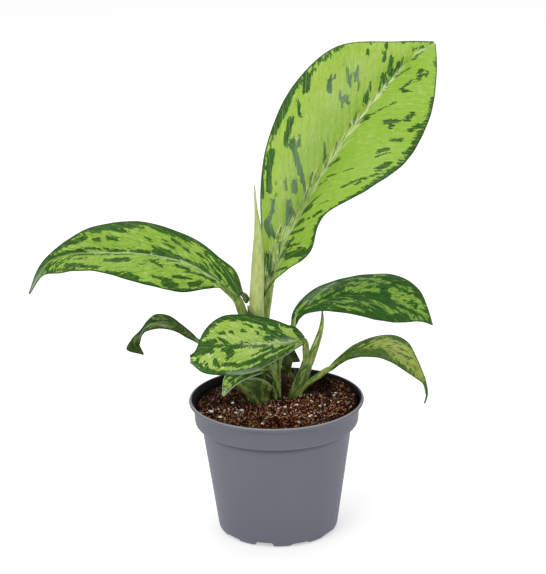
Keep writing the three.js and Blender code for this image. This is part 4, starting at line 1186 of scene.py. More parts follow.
STALK_TONES = {
    "pale": {
        "light": "#b1c26c", "light2": "#bfcd88", "dark": "#8a9f4c", "rib": "#98a765", "mottle": 0.55,
        "least": 0.25, "most": 0.8, "spot": "#5a7030", "edge": "#c8d4a0",
    },
    "olive": {
        "light": "#98aa50", "light2": "#b2bf72", "dark": "#47701c", "rib": "#748a40", "spot": "#3c5820",
        "edge": "#b4c488",
    },
    "mottled": {
        "light": "#7c9840", "light2": "#9cb468", "dark": "#2c5212", "rib": "#64842e", "mottle": 1.0,
        "least": 0.36, "most": 0.62, "spot": "#a8bc74", "crisp": 0.14, "edge": "#bcd08c",
    },
    "cane": {
        "light": "#7f9444", "light2": "#98a962", "dark": "#365618", "rib": "#66803a", "most": 0.66,
        "spots": 0.7, "spot": "#9cad70", "crisp": 0.26, "edge": "#9cb074",
    },
    "shaded": {
        "light": "#4c6228", "light2": "#60763a", "dark": "#1e360e", "rib": "#3e5824", "mottle": 0.95,
        "most": 0.66, "spots": 0.4, "spot": "#6e8444", "crisp": 0.26, "edge": "#94a878",
    },
    "dry": {
        "light": "#382620", "light2": "#4c3832", "dark": "#1a100c", "rib": "#302018", "mottle": 0.8,
        "spot": "#120a08", "edge": "#5a4640",
    },
}


# ---- sheaths and fibres --------------------------------------------------------------------------


def make_sheet(name, place, columns, rows, material, node_name, slot, thickness=0.7, rim=None):
    """A thin sheet. place(across, up) gives its points, and rim(across, up) how pale its edge is."""
    bm = bmesh.new()
    bmesh.ops.create_grid(bm, x_segments=columns, y_segments=rows, size=1)
    rim_layer = bm.verts.layers.float.new("rim")
    vein_layer = bm.loops.layers.uv.new("vein")
    width = (Vector(place(1, 0.5)) - Vector(place(0, 0.5))).length
    height = (Vector(place(0.5, 1)) - Vector(place(0.5, 0))).length
    for face in bm.faces:
        for loop in face.loops:
            across, up = (loop.vert.co.x + 1) / 2, (loop.vert.co.y + 1) / 2
            loop[vein_layer].uv = (1.4 * across * width, up * height)
    for vert in bm.verts:
        across, up = (vert.co.x + 1) / 2, (vert.co.y + 1) / 2
        vert[rim_layer] = rim(across, up) if rim else 0
        vert.co = place(across, up)
    thicken(finish_piece(name, bm, [material], node_name, slot), thickness)


# Two cups wrap the main stem, from one angle round the front to another. Their heights are at even steps.
STEM_AXIS = (-12.6, 13)
CUP_FROM = -118
CUP_TO = 104
CUP_TOP = (99, 102, 104.3, 105.8, 106.8, 106.6, 104.1, 99.3, 96, 94)
CUP_FOOT = (96.5, 97, 96, 93.5, 90, 86, 85.5, 86, 87, 88)
INNER_CUP_TOP = (102, 104.5, 106.5, 108.5, 110.6, 111.2, 110, 105.5, 99, 94)
INNER_CUP_FOOT = (98, 98, 98, 98, 98, 97, 95, 90, 87, 87)
CUP_HALF_WIDTH = 8.5
CUP_DEPTH = 8.7
# How much wider a cup gets upwards, and from which height to which.
CUP_FLARES = {"left": (6, 88, 97), "right": (3.2, 90, 100), "front": (1.6, 88, 104)}


def flare(direction, height):
    widening, low, high = CUP_FLARES[direction]
    return widening * smooth(low, high, height)


def cup(top, foot, snug):
    """A sheath round the front of the main stem. Its left side stands off as a lobe."""
    top_line = Spline([Vector((height, 0, 0)) for height in top])
    foot_line = Spline([Vector((height, 0, 0)) for height in foot])

    def place(across, up):
        angle = math.radians(mix(CUP_FROM, CUP_TO, across))
        height = mix(foot_line.at(across).x, top_line.at(across).x, up)
        ripple = 0.25 * math.sin(9 * angle + 5 * snug)
        reach = CUP_HALF_WIDTH + flare("left" if angle < 0 else "right", height) + ripple - snug
        depth = CUP_DEPTH + flare("front", height) + ripple - snug
        x = STEM_AXIS[0] + reach * math.sin(angle)
        return x, STEM_AXIS[1] - depth * math.cos(angle), height
    return place


def top_rim(across, up):
    return smooth(0.9, 0.97, up)


def right_rim(across, up):
    return max(smooth(0.88, 0.96, across), 0.6 * smooth(0.1, 0.04, across))


WEDGE_HEIGHTS = (87.5, 119)


def wedge_sheath(across, up):
    """The sheath between the main stem and the upper right leaf's petiole: it narrows downwards."""
    left = mix(-0.8, -7.4, up ** 0.85)
    right = mix(1.6, 3.1, up)
    turn_back = 2.4 * smooth(0.82, 1, across) + 1.2 * smooth(0.25, 0, across)
    y = mix(8.4, 9.8, across) - 0.7 * math.sin(math.pi * across) + turn_back
    return mix(left, right, across), y, mix(*WEDGE_HEIGHTS, up)


SPEAR_SHEATH_AXIS = (-12.3, 9.6)
SPEAR_SHEATH_ANGLES = (-125, 40)
SPEAR_SHEATH_HEIGHTS = (134, 157.5)


def spear_sheath(across, up):
    """A short dark sheath round the foot of the rolled leaf. Its top slopes down to both margins."""
    angle = math.radians(mix(*SPEAR_SHEATH_ANGLES, across))
    foot, top = SPEAR_SHEATH_HEIGHTS
    top -= 9 * smooth(0.35, 1, across) + 5 * smooth(0.3, 0, across)
    reach = 5.7 + 0.5 * up
    x = SPEAR_SHEATH_AXIS[0] + reach * math.sin(angle)
    return x, SPEAR_SHEATH_AXIS[1] - reach * math.cos(angle), mix(foot, top, up)


DRY_SHEATH_HEIGHTS = (86, 106)


def dry_sheath(across, up):
    """A dark withered scrap that stands between the two shoots."""
    foot, top = DRY_SHEATH_HEIGHTS
    half = 2.5 * (1 - 0.25 * up)
    sway = 0.5 * math.sin(5 * up + 2 * across)
    z = mix(foot, top + math.sin(8 * across), up)
    return mix(5.4, 5.8, up) + half * (2 * across - 1), 13 + sway, z


WITHERED_HEIGHTS = (104.5, 120)


def withered_leaf(across, up):
    """A withered leaf that hangs behind the stems, with a torn lower edge."""
    foot, top = WITHERED_HEIGHTS
    width = mix(6.5, 9.5, smooth(0.1, 0.8, up))
    sway = 0.8 * math.sin(7 * up + 3 * across)
    z = mix(foot + 2.5 * math.sin(9 * across), top, up)
    return mix(7.2, 7.9, up) + width * (across - 0.5), 18 + sway + 1.5 * up, z


HAIR_LENGTH = 9
HAIR_RADII = (0.16, 0.05)   # at both ends


def make_hairs(name, count, centre, spread, lean, material, node_name, slot):
    """Loose fibres that hang or stand round a place."""
    rng = random.Random(name)
    bm = bmesh.new()
    for _ in range(count):
        reach = rng.uniform(0.6, 1) * HAIR_LENGTH
        foot, end = HAIR_RADII
        made = bmesh.ops.create_cone(
            bm, cap_ends=True, segments=5, radius1=foot, radius2=end, depth=reach,
        )["verts"]
        tilt = Quaternion((0, 1, 0), lean + rng.uniform(-0.5, 0.5))
        tilt = tilt @ Quaternion((1, 0, 0), rng.uniform(-0.4, 0.4))
        bmesh.ops.rotate(bm, matrix=tilt.to_matrix(), verts=made)
        place = [middle + rng.uniform(-1, 1) * wide for middle, wide in zip(centre, spread)]
        bmesh.ops.translate(bm, vec=place, verts=made)
    bm.loops.layers.uv.new("vein")
    finish_piece(name, bm, [material], node_name, slot)


# ---- the plant -----------------------------------------------------------------------------------

# The curled lobe where the left leaf's blade meets its petiole, as (x, y, z, radius).
AURICLE = [
    (-23.8, 8, 166.4, 1.2), (-22, 8, 165.5, 1.8), (-20.3, 8, 164, 2.3),
    (-19.4, 8, 161.6, 2.3), (-19.4, 8, 159.2, 1),
]


def build_leaves(patches, stalks):
    """Each leaf's blade and petiole, in the look that its row names."""
    finishes = {}
    for looks, own in LEAF_TONES.items():
        tones = linear(SHARED_LEAF_TONES, own)
        finishes[looks] = [
            leaf_material(f"leaf_{looks}_upper", patches, tones),
            underside_material(f"leaf_{looks}_under", patches, tones),
        ]
    for name, leaf in LEAVES.items():
        slot = "leaf_" + LEAF_SLOTS.get(leaf["looks"], leaf["looks"])
        make_blade(name, leaf, finishes[leaf["looks"]], slot)
        make_petiole(name, leaf, stalks[leaf["petiole"]], slot)


def build_stems(stalks):
    """The two canes and the rolled leaf on each."""
    roll = rolled_section(0.25, 0.1)
    for name, spine, sides, looks, node_name, slot, section, tip in (
        ("cane_main_stem", CANE_MAIN, 40, "cane", "cane_main", "cane_green", cane_section, 1.0),
        ("cane_side_stem", CANE_SIDE, 32, "cane", "cane_side", "cane_green", cane_section, 1.0),
        ("spear_main_roll", SPEAR_MAIN, 36, "pale", "spear_main", "spear_pale", roll, 1.0),
        ("spear_side_roll", SPEAR_SIDE, 28, "olive", "spear_side", "spear_pale", roll, 0.84),
    ):
        make_tube(name, spine, FRONT, sides, stalks[looks], node_name, slot, section, 1, tip)


def build_sheaths(stalks):
    """The thin leaf bases on the stems, the withered leaf and the left leaf's curled lobe."""
    outer_cup = cup(CUP_TOP, CUP_FOOT, 0)
    inner_cup = cup(INNER_CUP_TOP, INNER_CUP_FOOT, 1.3)
    for name, place, columns, rows, thickness, rim, looks, node_name, slot in (
        ("cane_main_sheath", outer_cup, 60, 24, 0.7, top_rim, "cane", "cane_main", "cane_green"),
        ("cane_main_inner_sheath", inner_cup, 60, 24, 0.7, top_rim, "shaded", "cane_main", "cane_green"),
        ("spear_main_sheath", spear_sheath, 36, 24, 0.6, top_rim, "shaded", "spear_main", "spear_pale"),
        (
            "right_upper_sheath", wedge_sheath, 36, 40, 0.6, right_rim,
            "mottled", "leaf_right_upper", "leaf_dark",
        ),
        ("cane_side_dry_sheath", dry_sheath, 12, 24, 0.4, None, "dry", "cane_side", "cane_green"),
        ("withered_leaf", withered_leaf, 20, 24, 0.4, None, "shaded", "leaf_low_back", "leaf_dark"),
    ):
        make_sheet(name, place, columns, rows, stalks[looks], node_name, slot, thickness, rim)
    lobe = ("leaf_left_large", "leaf_variegated", rolled_section(0.5, 0.3))
    make_tube("left_large_auricle", AURICLE, FRONT, 24, stalks["shaded"], *lobe, 0.4)


def build_fibres(stalks):
    for name, count, centre, spread, lean, looks, node_name, slot in (
        (
            "withered_leaf_fibres", 24, (11.5, 16.5, 103.5), (3, 1.5, 2.5), -0.5,
            "olive", "leaf_low_back", "leaf_dark",
        ),
        ("cane_side_fibres", 10, (5.5, 11.5, 96), (2, 1, 6), 0.1, "dry", "cane_side", "cane_green"),
    ):
        make_hairs(name, count, centre, spread, lean, stalks[looks], node_name, slot)


def build_plant():
    patches = build_patches_group(build_streaks_group())
    stalks = {}
    for looks, own in STALK_TONES.items():
        stalks[looks] = stalk_material(f"stalk_{looks}", patches, linear(SHARED_STALK_TONES, own))
    build_leaves(patches, stalks)
    build_stems(stalks)
    build_sheaths(stalks)
    build_fibres(stalks)


# ---- pot -----------------------------------------------------------------------------------------

# The pot's section, as (radius, height). The outside goes up from the foot, the inside comes down.
POT_OUTSIDE = [
    (38.6, 0), (40.4, 0.6), (41.2, 2), (51.6, 76.4), (55.2, 76.9), (56, 78.4),
    (56.7, 90.2), (58.8, 90.9), (60, 92.2), (59.5, 93.5), (58.6, 94),
]
POT_INSIDE = [
    (57.4, 93.2), (55.6, 90), (54.8, 80.6), (53.8, 79.2), (50.4, 78.4), (40, 5.8), (39, 4.6),
]
POT_FLOOR_RADIUS = 37
POT_FLOOR_TOP = 4.6
POT_SEGMENTS = 160
POT_ROUNDING = 0.8          # how far the arc at each of its corners reaches
POT_LONGEST_FACE = 6
# Where the dark inner plastic starts: below the lip's edge, on the floor and on the step inside.
LIP_EDGE = 0.25
FLOOR_ZONE = 10
STEP_ZONE = (70, 82)
STEP_RADIUS = 54
# Plastic, as (plain, cloudy, pale specks and the painted highlight on the lip, painted shade).
OUTSIDE_TONES = ("#5f616c", "#63656f", "#9a9ca2", "#202228")
INSIDE_TONES = ("#050506", "#08090a", "#1c1d1f", "#020202")
# Painted shade, as (height, height, strength there, strength there): the shadow below the band, below the lip
# and at the foot.
POT_PAINTED_SHADE = [
    (71.8, 75.6, 0.0, 0.55), (75.6, 76.6, 0.55, 0.55), (90.0, 91.3, 0.1, 0.6), (1.6, 0.2, 0.0, 0.7),
]
# A painted highlight on the lip's crest, as (height, height, strength there, strength there).
POT_LIP_PAINTED_HIGHLIGHT = (92.9, 93.6, 0.0, 0.75)
CHANNEL_COUNT = 10
CHANNEL_HEIGHT = 1.9
FRONT_CHANNEL_HEIGHT = 3.1
CHANNEL_ANGLE = 18
CHANNEL_FIRST = -104
CHANNEL_START = 14
DRAIN_HOLE_RADIUS = 3
DRAIN_HOLE_CIRCLE = 32


def rounded_profile(points, size):
    """The same line with each corner cut into a short arc."""
    line = [points[0]]
    for before, here, after in zip(points, points[1:], points[2:]):
        corner = Vector(here)
        back = Vector(before) - corner
        ahead = Vector(after) - corner
        reach = min(size, back.length * 0.45, ahead.length * 0.45)
        start = corner + back.normalized() * reach
        end = corner + ahead.normalized() * reach
        for part in (0, 0.33, 0.67, 1):
            line.append(tuple(start.lerp(corner, part).lerp(corner.lerp(end, part), part)))
    line.append(points[-1])
    return line


def filled_profile(line, longest):
    """The same line with points added so that no stretch is longer than `longest`."""
    dense = [line[0]]
    for here, there in zip(line, line[1:]):
        count = max(1, math.ceil((Vector(there) - Vector(here)).length / longest))
        for i in range(1, count + 1):
            dense.append(tuple(Vector(here).lerp(Vector(there), i / count)))
    return dense


def pot_material(name, tones, rough, gloss):
    """Moulded plastic with a fine grain and faint clouds, a painted highlight on the lip, and painted shade
    below the band, below the lip and at the foot.
    """
    material, graph, shader = new_material(name, rough, Specular_IOR_Level=gloss)
    place = graph.place()
    grain = graph.noise(place, 1400, 2.0)
    cloud = graph.noise(graph.stretch(place, (30, 30, 12)), 1.0, 4.0)
    plain, cloudy, specks_and_highlight, painted_shade = (colour(code) for code in tones)
    base = graph.blend(graph.remap(cloud, 0.3, 0.7), plain, cloudy)
    base = graph.blend(graph.remap(grain, 0.55, 0.75, 0.0, 0.12), base, specks_and_highlight)
    height = graph.parts(place)[2]
    # Painted shade: darker bands below the band, below the lip and at the foot, where shadow falls.
    for low, high, least, most in POT_PAINTED_SHADE:
        shade = graph.remap(height, low * MM, high * MM, least, most)
        inside = graph.math("LESS_THAN", height, max(low, high) * MM)
        inside = graph.times(inside, graph.math("GREATER_THAN", height, min(low, high) * MM))
        base = graph.blend(graph.times(shade, inside), base, painted_shade)
    # A painted highlight along the lip's crest, in the pale colour that also makes the fine specks.
    low, high, least, most = POT_LIP_PAINTED_HIGHLIGHT
    base = graph.blend(graph.remap(height, low * MM, high * MM, least, most), base, specks_and_highlight)
    uneven = graph.remap(cloud, 0.2, 0.8, rough - 0.05, rough + 0.07)
    connect(graph, shader, base, grain, 0.00005, 0.4, uneven)
    return material


def drill_drain_hole(bm, direction):
    """Opens the pot's floor, above and below, and joins the two openings with a wall."""
    centre = DRAIN_HOLE_CIRCLE * Vector((math.cos(direction), math.sin(direction)))

    def is_near(place, reach):
        return place.z < POT_FLOOR_TOP + 0.1 and (place.xy - centre).length < reach

    cut = [face for face in bm.faces if is_near(face.calc_center_median(), DRAIN_HOLE_RADIUS)]
    bmesh.ops.delete(bm, geom=cut, context="FACES")
    edges = [edge for edge in bm.edges if edge.is_boundary]
    edges = [edge for edge in edges if is_near(edge.verts[0].co, 2 * DRAIN_HOLE_RADIUS)]
    for vert in {vert for edge in edges for vert in edge.verts}:
        vert.co.xy = centre + (vert.co.xy - centre).normalized() * DRAIN_HOLE_RADIUS
    bmesh.ops.bridge_loops(bm, edges=edges)


def is_inside_pot(face):
    """Tells the dark inner faces from the outer ones."""
    middle = face.calc_center_median()
    faces_axis = face.normal.x * middle.x + face.normal.y * middle.y < -0.01
    on_wall = faces_axis and middle.z < POT_OUTSIDE[-1][1] - LIP_EDGE
    on_floor = face.normal.z > 0.9 and middle.z < FLOOR_ZONE
    near_step = STEP_ZONE[0] < middle.z < STEP_ZONE[1] and middle.xy.length < STEP_RADIUS
    return on_wall or on_floor or (near_step and face.normal.z > 0.3)


def lift_channel(vert):
    """Raises the underside of the pot's floor where a drainage channel runs outwards."""
    radius = vert.co.xy.length
    if vert.co.z > 4 or radius < CHANNEL_START:
        return
    half_angle = CHANNEL_ANGLE / 2
    spacing = 360 / CHANNEL_COUNT
    angle = math.degrees(math.atan2(vert.co.y, vert.co.x)) - CHANNEL_FIRST
    off = abs((angle + spacing / 2) % spacing - spacing / 2)
    height = FRONT_CHANNEL_HEIGHT if abs(angle) < half_angle + 1 else CHANNEL_HEIGHT
    rise = height * (1 - smooth(half_angle - 1, half_angle + 1, off))
    rise *= smooth(CHANNEL_START, CHANNEL_START + 2, radius)
    if rise > 0.01:
        vert.co.z = max(vert.co.z, rise + vert.co.z * 0.1)


def build_pot():
    outer = pot_material("pot_plastic_outside", OUTSIDE_TONES, 0.5, 0.35)
    inner = pot_material("pot_plastic_inside", INSIDE_TONES, 0.6, 0.15)
    wall = [(POT_FLOOR_RADIUS, 0), *POT_OUTSIDE, *POT_INSIDE, (POT_FLOOR_RADIUS, POT_FLOOR_TOP)]
    profile = [(radius, 0) for radius in range(POT_FLOOR_RADIUS)]
    profile += filled_profile(rounded_profile(wall, POT_ROUNDING), POT_LONGEST_FACE)
    profile += [(radius, POT_FLOOR_TOP) for radius in reversed(range(POT_FLOOR_RADIUS))]
    bm = bmesh.new()
    verts = [bm.verts.new((radius, 0, height)) for radius, height in profile]
    for here, there in zip(verts, verts[1:]):
        bm.edges.new((here, there))
    bmesh.ops.spin(
        bm, geom=[*bm.verts, *bm.edges], cent=(0, 0, 0), axis=(0, 0, 1),
        angle=TURN, steps=POT_SEGMENTS, use_merge=True,
    )
    bmesh.ops.remove_doubles(bm, verts=bm.verts, dist=1e-3)
    for index in range(CHANNEL_COUNT):
        drill_drain_hole(bm, math.radians(CHANNEL_FIRST + 360 / CHANNEL_COUNT * index))
    bmesh.ops.recalc_face_normals(bm, faces=bm.faces)
    for face in bm.faces:
        face.material_index = 1 if is_inside_pot(face) else 0
    for vert in bm.verts:
        lift_channel(vert)
    finish_piece("pot_shell", bm, [outer, inner], "pot", "pot_plastic")


# ---- soil ----------------------------------------------------------------------------------------

SOIL_LEVEL = 90.4
SOIL_RISE_X = 2.5
SOIL_RISE_Y = 0.3
SOIL_EDGE_RADIUS = 54
SOIL_EDGE_GAP = 0.3
DIP = {"x": -3, "y": 12, "depth": 2.3, "spread": 24}
LUMP_HEIGHT = 0.55
SOIL_FOOT = 80
SOIL_FOOT_INSET = 2.5
CRUMB_COUNT = 9200
PERLITE_COUNT = 34
PERLITE_SPOTS = [
    (-44.5, -15, 1.9), (-23.5, -12, 1.5), (-27.6, -14, 1.1), (5.7, -10, 1.1), (29.5, -12, 1),
    (32.9, -10, 0.9), (13.9, -10, 1), (-30, 2, 0.9), (41, 10, 1), (22, -30, 0.9), (-38, -22, 1.2),
]
FIBRE_COUNT = 320
BATCH = 40                  # small shapes are made in batches, which is faster
SMALLEST_CRUMB = 0.3        # radii and lengths of the small shapes, before they are stretched
LARGEST_CRUMB = 1.0
SMALLEST_PERLITE = 0.35
LARGEST_PERLITE = 0.9
FIBRE_LENGTHS = (1.2, 4.5)
FIBRE_RADII = (0.08, 0.18)
SOIL_SIDES = 96
SOIL_CUTS = 11
CLOD_SIZE = 3.2
CLOD_HEIGHT = 0.55
# Peat, from its darkest crumbs to its palest. The bed takes the first four.
PEAT_TONES = ("#100502", "#3c1c10", "#74442c", "#9c6c4e", "#bc9070", "#e6d2b8")
# Tints and painted shadows of the soil's surface. Each spreads from one distance to another, in millimetres.
OLIVE_TINT = "#c4b46c"      # towards the front left
OLIVE_TOWARD = (-0.35, -0.94, 0)
OLIVE_REACH = (18, 46)
# A painted shadow on the soil behind the side stem.
STEM_SHADOW_TONE = "#0c0504"       # behind the side stem
STEM_SHADOW_TOWARD = (0.5, 0.87, 0)
STEM_SHADOW_REACH = (14, 28)
STEM_SHADOW_LEFT_END = (2, 16)
STEM_SHADOW_RIGHT_END = (46, 34)
SHADE_TONE = "#120e0c"      # at the back left, under the leaves
SHADE_LEFT = (-6, -18)
SHADE_BACK = (-14, 4)


def soil_height(x, y):
    slope = (SOIL_RISE_X * x + SOIL_RISE_Y * y) / SOIL_EDGE_RADIUS
    from_dip = ((x - DIP["x"]) ** 2 + (y - DIP["y"]) ** 2) / DIP["spread"] ** 2
    lumps = math.sin(0.21 * x + 1.3) * math.sin(0.17 * y + 0.4) + 0.6 * math.sin(0.13 * x - 0.11 * y)
    return SOIL_LEVEL + slope - DIP["depth"] * math.exp(-from_dip) + LUMP_HEIGHT * lumps


def band_inside_radius(height):
    (top_radius, top_height), (low_radius, low_height) = POT_INSIDE[1], POT_INSIDE[2]
    return mix(low_radius, top_radius, (height - low_height) / (top_height - low_height))


def grain_height(x, y):
    """The rough surface: small clods on the even one."""
    clods = noise.fractal(Vector((x / CLOD_SIZE, y / CLOD_SIZE, 4.1)), 0.8, 2.0, 4)
    return soil_height(x, y) + CLOD_HEIGHT * clods


def soil_material(name, tones):
    """Peat: each crumb has a tone of its own. Its surface is tinted olive in places, with a painted shadow
    behind the side stem and painted shade at the back left.
    """
    material, graph, shader = new_material(name, 0.9, Specular_IOR_Level=0.05)
    place = graph.place()
    fine = graph.noise(place, 900, 4.0, 0.7)
    patch = graph.noise(place, 60, 2.0)
    value = graph.plus(graph.attribute("tone"), graph.times(graph.minus(fine, 0.5), 0.5))
    value = graph.plus(value, graph.times(graph.minus(patch, 0.5), 0.5))
    ramp = graph.add("ValToRGB", {"Fac": value})
    steps = ramp.color_ramp.elements
    steps[0].color = colour(tones[0])
    steps[1].color = colour(tones[-1])
    for i, code in enumerate(tones[1:-1]):
        steps.new((i + 1) / (len(tones) - 1)).color = colour(code)

    def spread(distance, ends, least=0.0, most=1.0):
        return graph.remap(distance, ends[0] * MM, ends[1] * MM, least, most)

    right, away = graph.parts(place)[:2]
    olive = spread(graph.dot(place, OLIVE_TOWARD), OLIVE_REACH, 0.0, 0.65)
    base = graph.blend(olive, ramp.outputs["Color"], colour(OLIVE_TINT), "MULTIPLY")
    # Painted shadow behind the side stem.
    stem_shadow = spread(graph.dot(place, STEM_SHADOW_TOWARD), STEM_SHADOW_REACH)
    stem_shadow = graph.times(stem_shadow, spread(right, STEM_SHADOW_LEFT_END, 0.0, 0.92))
    stem_shadow = graph.times(stem_shadow, spread(right, STEM_SHADOW_RIGHT_END, 0.2, 1.0))
    base = graph.blend(stem_shadow, base, colour(STEM_SHADOW_TONE))
    shade = graph.times(spread(right, SHADE_LEFT), spread(away, SHADE_BACK, 0.0, 0.6))
    base = graph.blend(shade, base, colour(SHADE_TONE))
    connect(graph, shader, base, fine, 0.0004, 1.0)
    return material


def grain_material(name, pit_tone, tone):
    """Perlite or fibres, with fine pits."""
    material, graph, shader = new_material(name, 0.8)
    pits = graph.noise(graph.place(), 1500, 3.0)
    base = graph.blend(graph.remap(pits, 0.38, 0.64), colour(pit_tone), colour(tone))
    connect(graph, shader, base, pits, 0.0003, 1.0)
    return material


def gather(count, rng, shape, spots=()):
    """Many copies of a small shape over the soil, each at random, then some at known places."""
    whole = bmesh.new()
    for start in range(0, count + len(spots), BATCH):
        batch = bmesh.new()
        tone_layer = batch.verts.layers.float.new("tone")
        for index in range(start, min(start + BATCH, count + len(spots))):
            if index < count:
                angle = rng.uniform(0, TURN)
                reach = (SOIL_EDGE_RADIUS - 0.5) * math.sqrt(rng.random())
                x, y, size = reach * math.cos(angle), reach * math.sin(angle), None
            else:
                x, y, size = spots[index - count]
            verts = shape(batch, rng, size)
            tone = rng.random() ** 1.9
            for vert in verts:
                vert[tone_layer] = tone
            bmesh.ops.translate(batch, vec=(x, y, grain_height(x, y)), verts=verts)
        mesh = bpy.data.meshes.new("batch")
        batch.to_mesh(mesh)
        batch.free()
        whole.from_mesh(mesh)
        bpy.data.meshes.remove(mesh)
    return whole


def any_turn(rng):
    return Quaternion([rng.gauss(0, 1) for _ in range(4)]).normalized().to_matrix()


def crumb(bm, rng, size):
    """An uneven bit of peat. Most are small."""
    size = mix(SMALLEST_CRUMB, LARGEST_CRUMB, rng.random() ** 2.4)
    made = bmesh.ops.create_icosphere(bm, subdivisions=1, radius=size)["verts"]
    for vert in made:
        vert.co *= rng.uniform(0.75, 1.2)
    stretch = (rng.uniform(0.8, 2.1), rng.uniform(0.5, 1), rng.uniform(0.45, 0.85))
    bmesh.ops.scale(bm, vec=stretch, verts=made)
    bmesh.ops.rotate(bm, matrix=any_turn(rng), verts=made)
    return made


def perlite(bm, rng, size):
    """A lumpy white grain that stands a little out of the soil. The large ones have a size of their own."""
    size = size or mix(SMALLEST_PERLITE, LARGEST_PERLITE, rng.random() ** 2)
    made = bmesh.ops.create_icosphere(bm, subdivisions=2, radius=size)["verts"]
    seed = Vector((rng.uniform(0, 100), 0, 0))
    for vert in made:
        vert.co *= 1 + 0.7 * noise.noise(vert.co * (1.3 / size) + seed)
    bmesh.ops.scale(bm, vec=(rng.uniform(0.9, 1.4), 1, rng.uniform(0.5, 0.8)), verts=made)
    bmesh.ops.rotate(bm, matrix=Quaternion((0, 0, 1), rng.uniform(0, TURN)).to_matrix(), verts=made)
    bmesh.ops.translate(bm, vec=(0, 0, 0.35 * size), verts=made)
    return made


def fibre(bm, rng, size):
    """A thin bit of root or bark."""
    length = rng.uniform(*FIBRE_LENGTHS)
    radius = rng.uniform(*FIBRE_RADII)
    made = bmesh.ops.create_cone(
        bm, cap_ends=True, segments=4, radius1=radius, radius2=radius * 0.6, depth=length,
    )["verts"]
    lying = Quaternion((1, 0, 0), math.pi / 2 + rng.uniform(-0.3, 0.3))
    turned = Quaternion((0, 0, 1), rng.uniform(0, TURN)) @ lying
    bmesh.ops.rotate(bm, matrix=turned.to_matrix(), verts=made)
    return made


def build_soil_bed(material):
    bm = bmesh.new()
    bmesh.ops.create_circle(bm, cap_ends=True, cap_tris=True, segments=SOIL_SIDES, radius=1)
    bmesh.ops.subdivide_edges(bm, edges=bm.edges, cuts=SOIL_CUTS, use_grid_fill=True)
    tone_layer = bm.verts.layers.float.new("tone")
    bmesh.ops.remove_doubles(bm, verts=bm.verts, dist=1e-5)
    for vert in bm.verts:
        x = vert.co.x * SOIL_EDGE_RADIUS
        y = vert.co.y * SOIL_EDGE_RADIUS
        z = grain_height(x, y)
        stretch = (band_inside_radius(z) - SOIL_EDGE_GAP) / SOIL_EDGE_RADIUS
        vert.co = (x * stretch, y * stretch, z)
        vert[tone_layer] = 0.2 + 0.5 * noise.noise(Vector((x / 2.5, y / 2.5, 1.0)))
    rim = [edge for edge in bm.edges if edge.is_boundary]
    lower = bmesh.ops.extrude_edge_only(bm, edges=rim)["geom"]
    for vert in lower:
        if isinstance(vert, bmesh.types.BMVert):
            vert.co.z = SOIL_FOOT
            vert.co.xy *= (band_inside_radius(SOIL_FOOT) - SOIL_FOOT_INSET) / vert.co.xy.length
    close_ends(bm)
    bmesh.ops.recalc_face_normals(bm, faces=bm.faces)
    finish_piece("soil_bed", bm, [material], "soil", "soil_mix")


def build_soil():
    build_soil_bed(soil_material("soil_bed_peat", PEAT_TONES[:4]))
    rng = random.Random(11)
    crumb_material = soil_material("soil_crumb_peat", PEAT_TONES)
    crumbs = gather(CRUMB_COUNT, rng, crumb)
    finish_piece("soil_crumbs", crumbs, [crumb_material], "soil", "soil_mix", shade=False)
    white = grain_material("soil_perlite_white", "#cfc6b2", "#fbf8f0")
    bits = gather(PERLITE_COUNT, rng, perlite, PERLITE_SPOTS)
    finish_piece("soil_perlite", bits, [white], "soil", "soil_mix")
    tan = grain_material("soil_fibre_tan", "#4a2f1e", "#9a7c5c")
    finish_piece("soil_fibres", gather(FIBRE_COUNT, rng, fibre), [tan], "soil", "soil_mix")


# ---- studio --------------------------------------------------------------------------------------

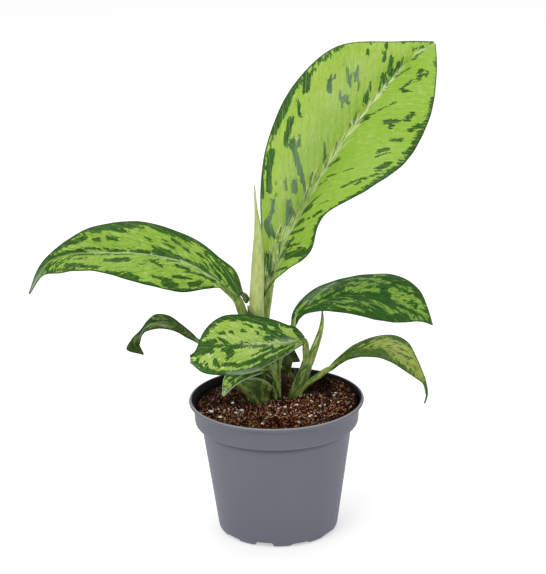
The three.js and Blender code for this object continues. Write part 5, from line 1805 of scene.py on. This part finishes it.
# The camera that was fitted to the photo. Places are in metres here.
EYE = (0, -1.3059, 0.5986)
AIM = (-0.0011, 0, 0.1729)
LENS = 128.19
SENSOR = 36
ROLL = -0.93
LIGHTS = [
    # name, place, size, power
    ("key light", (-1.1, -1.5, 1.9), 1.6, 23),
    ("fill light", (1.5, -1.4, 1.1), 1.4, 7),
    ("top light", (0.1, 0.5, 2.0), 1.4, 12),
]
LIGHTS_AIM = (0, 0, 0.15)
WORLD_STRENGTH = 0.48
FLOOR_RADIUS = 4
FLOOR_DROP = 0.0002
FLOOR_WHITE = 0.85
FLOOR_GLOW = 0.45


def place_and_aim(thing, place, aim, roll=0.0):
    thing.location = place
    look = (Vector(aim) - Vector(place)).to_track_quat("-Z", "Y")
    thing.rotation_mode = "QUATERNION"
    thing.rotation_quaternion = look @ Quaternion((0, 0, 1), math.radians(roll))
    bpy.context.scene.collection.objects.link(thing)


def build_floor():
    bm = bmesh.new()
    bmesh.ops.create_circle(bm, cap_ends=True, segments=64, radius=FLOOR_RADIUS)
    bmesh.ops.translate(bm, vec=(0, 0, -FLOOR_DROP), verts=bm.verts)
    mesh = bpy.data.meshes.new("floor")
    bm.to_mesh(mesh)
    bm.free()
    material, _, shader = new_material("floor_white", Emission_Strength=FLOOR_GLOW)
    shader.inputs["Base Color"].default_value = (FLOOR_WHITE, FLOOR_WHITE, FLOOR_WHITE, 1)
    shader.inputs["Emission Color"].default_value = (1, 1, 1, 1)
    mesh.materials.append(material)
    floor = bpy.data.objects.new("floor", mesh)
    bpy.context.scene.collection.objects.link(floor)


def build_studio():
    scene = bpy.context.scene
    camera = bpy.data.objects.new("camera", bpy.data.cameras.new("camera"))
    place_and_aim(camera, EYE, AIM, ROLL)
    camera.data.lens = LENS
    camera.data.sensor_fit = "VERTICAL"
    camera.data.sensor_height = SENSOR
    camera.data.clip_start = 0.05
    scene.camera = camera
    scene.view_settings.view_transform = "Standard"
    for name, place, size, power in LIGHTS:
        light = bpy.data.lights.new(name, "AREA")
        light.size = size
        light.energy = power
        place_and_aim(bpy.data.objects.new(name, light), place, LIGHTS_AIM)
    world = bpy.data.worlds.new("studio")
    world.use_nodes = True
    back = world.node_tree.nodes["Background"]
    back.inputs["Color"].default_value = (1, 1, 1, 1)
    back.inputs["Strength"].default_value = WORLD_STRENGTH
    scene.world = world
    build_floor()


build_studio()
build_pot()
build_soil()
build_plant()
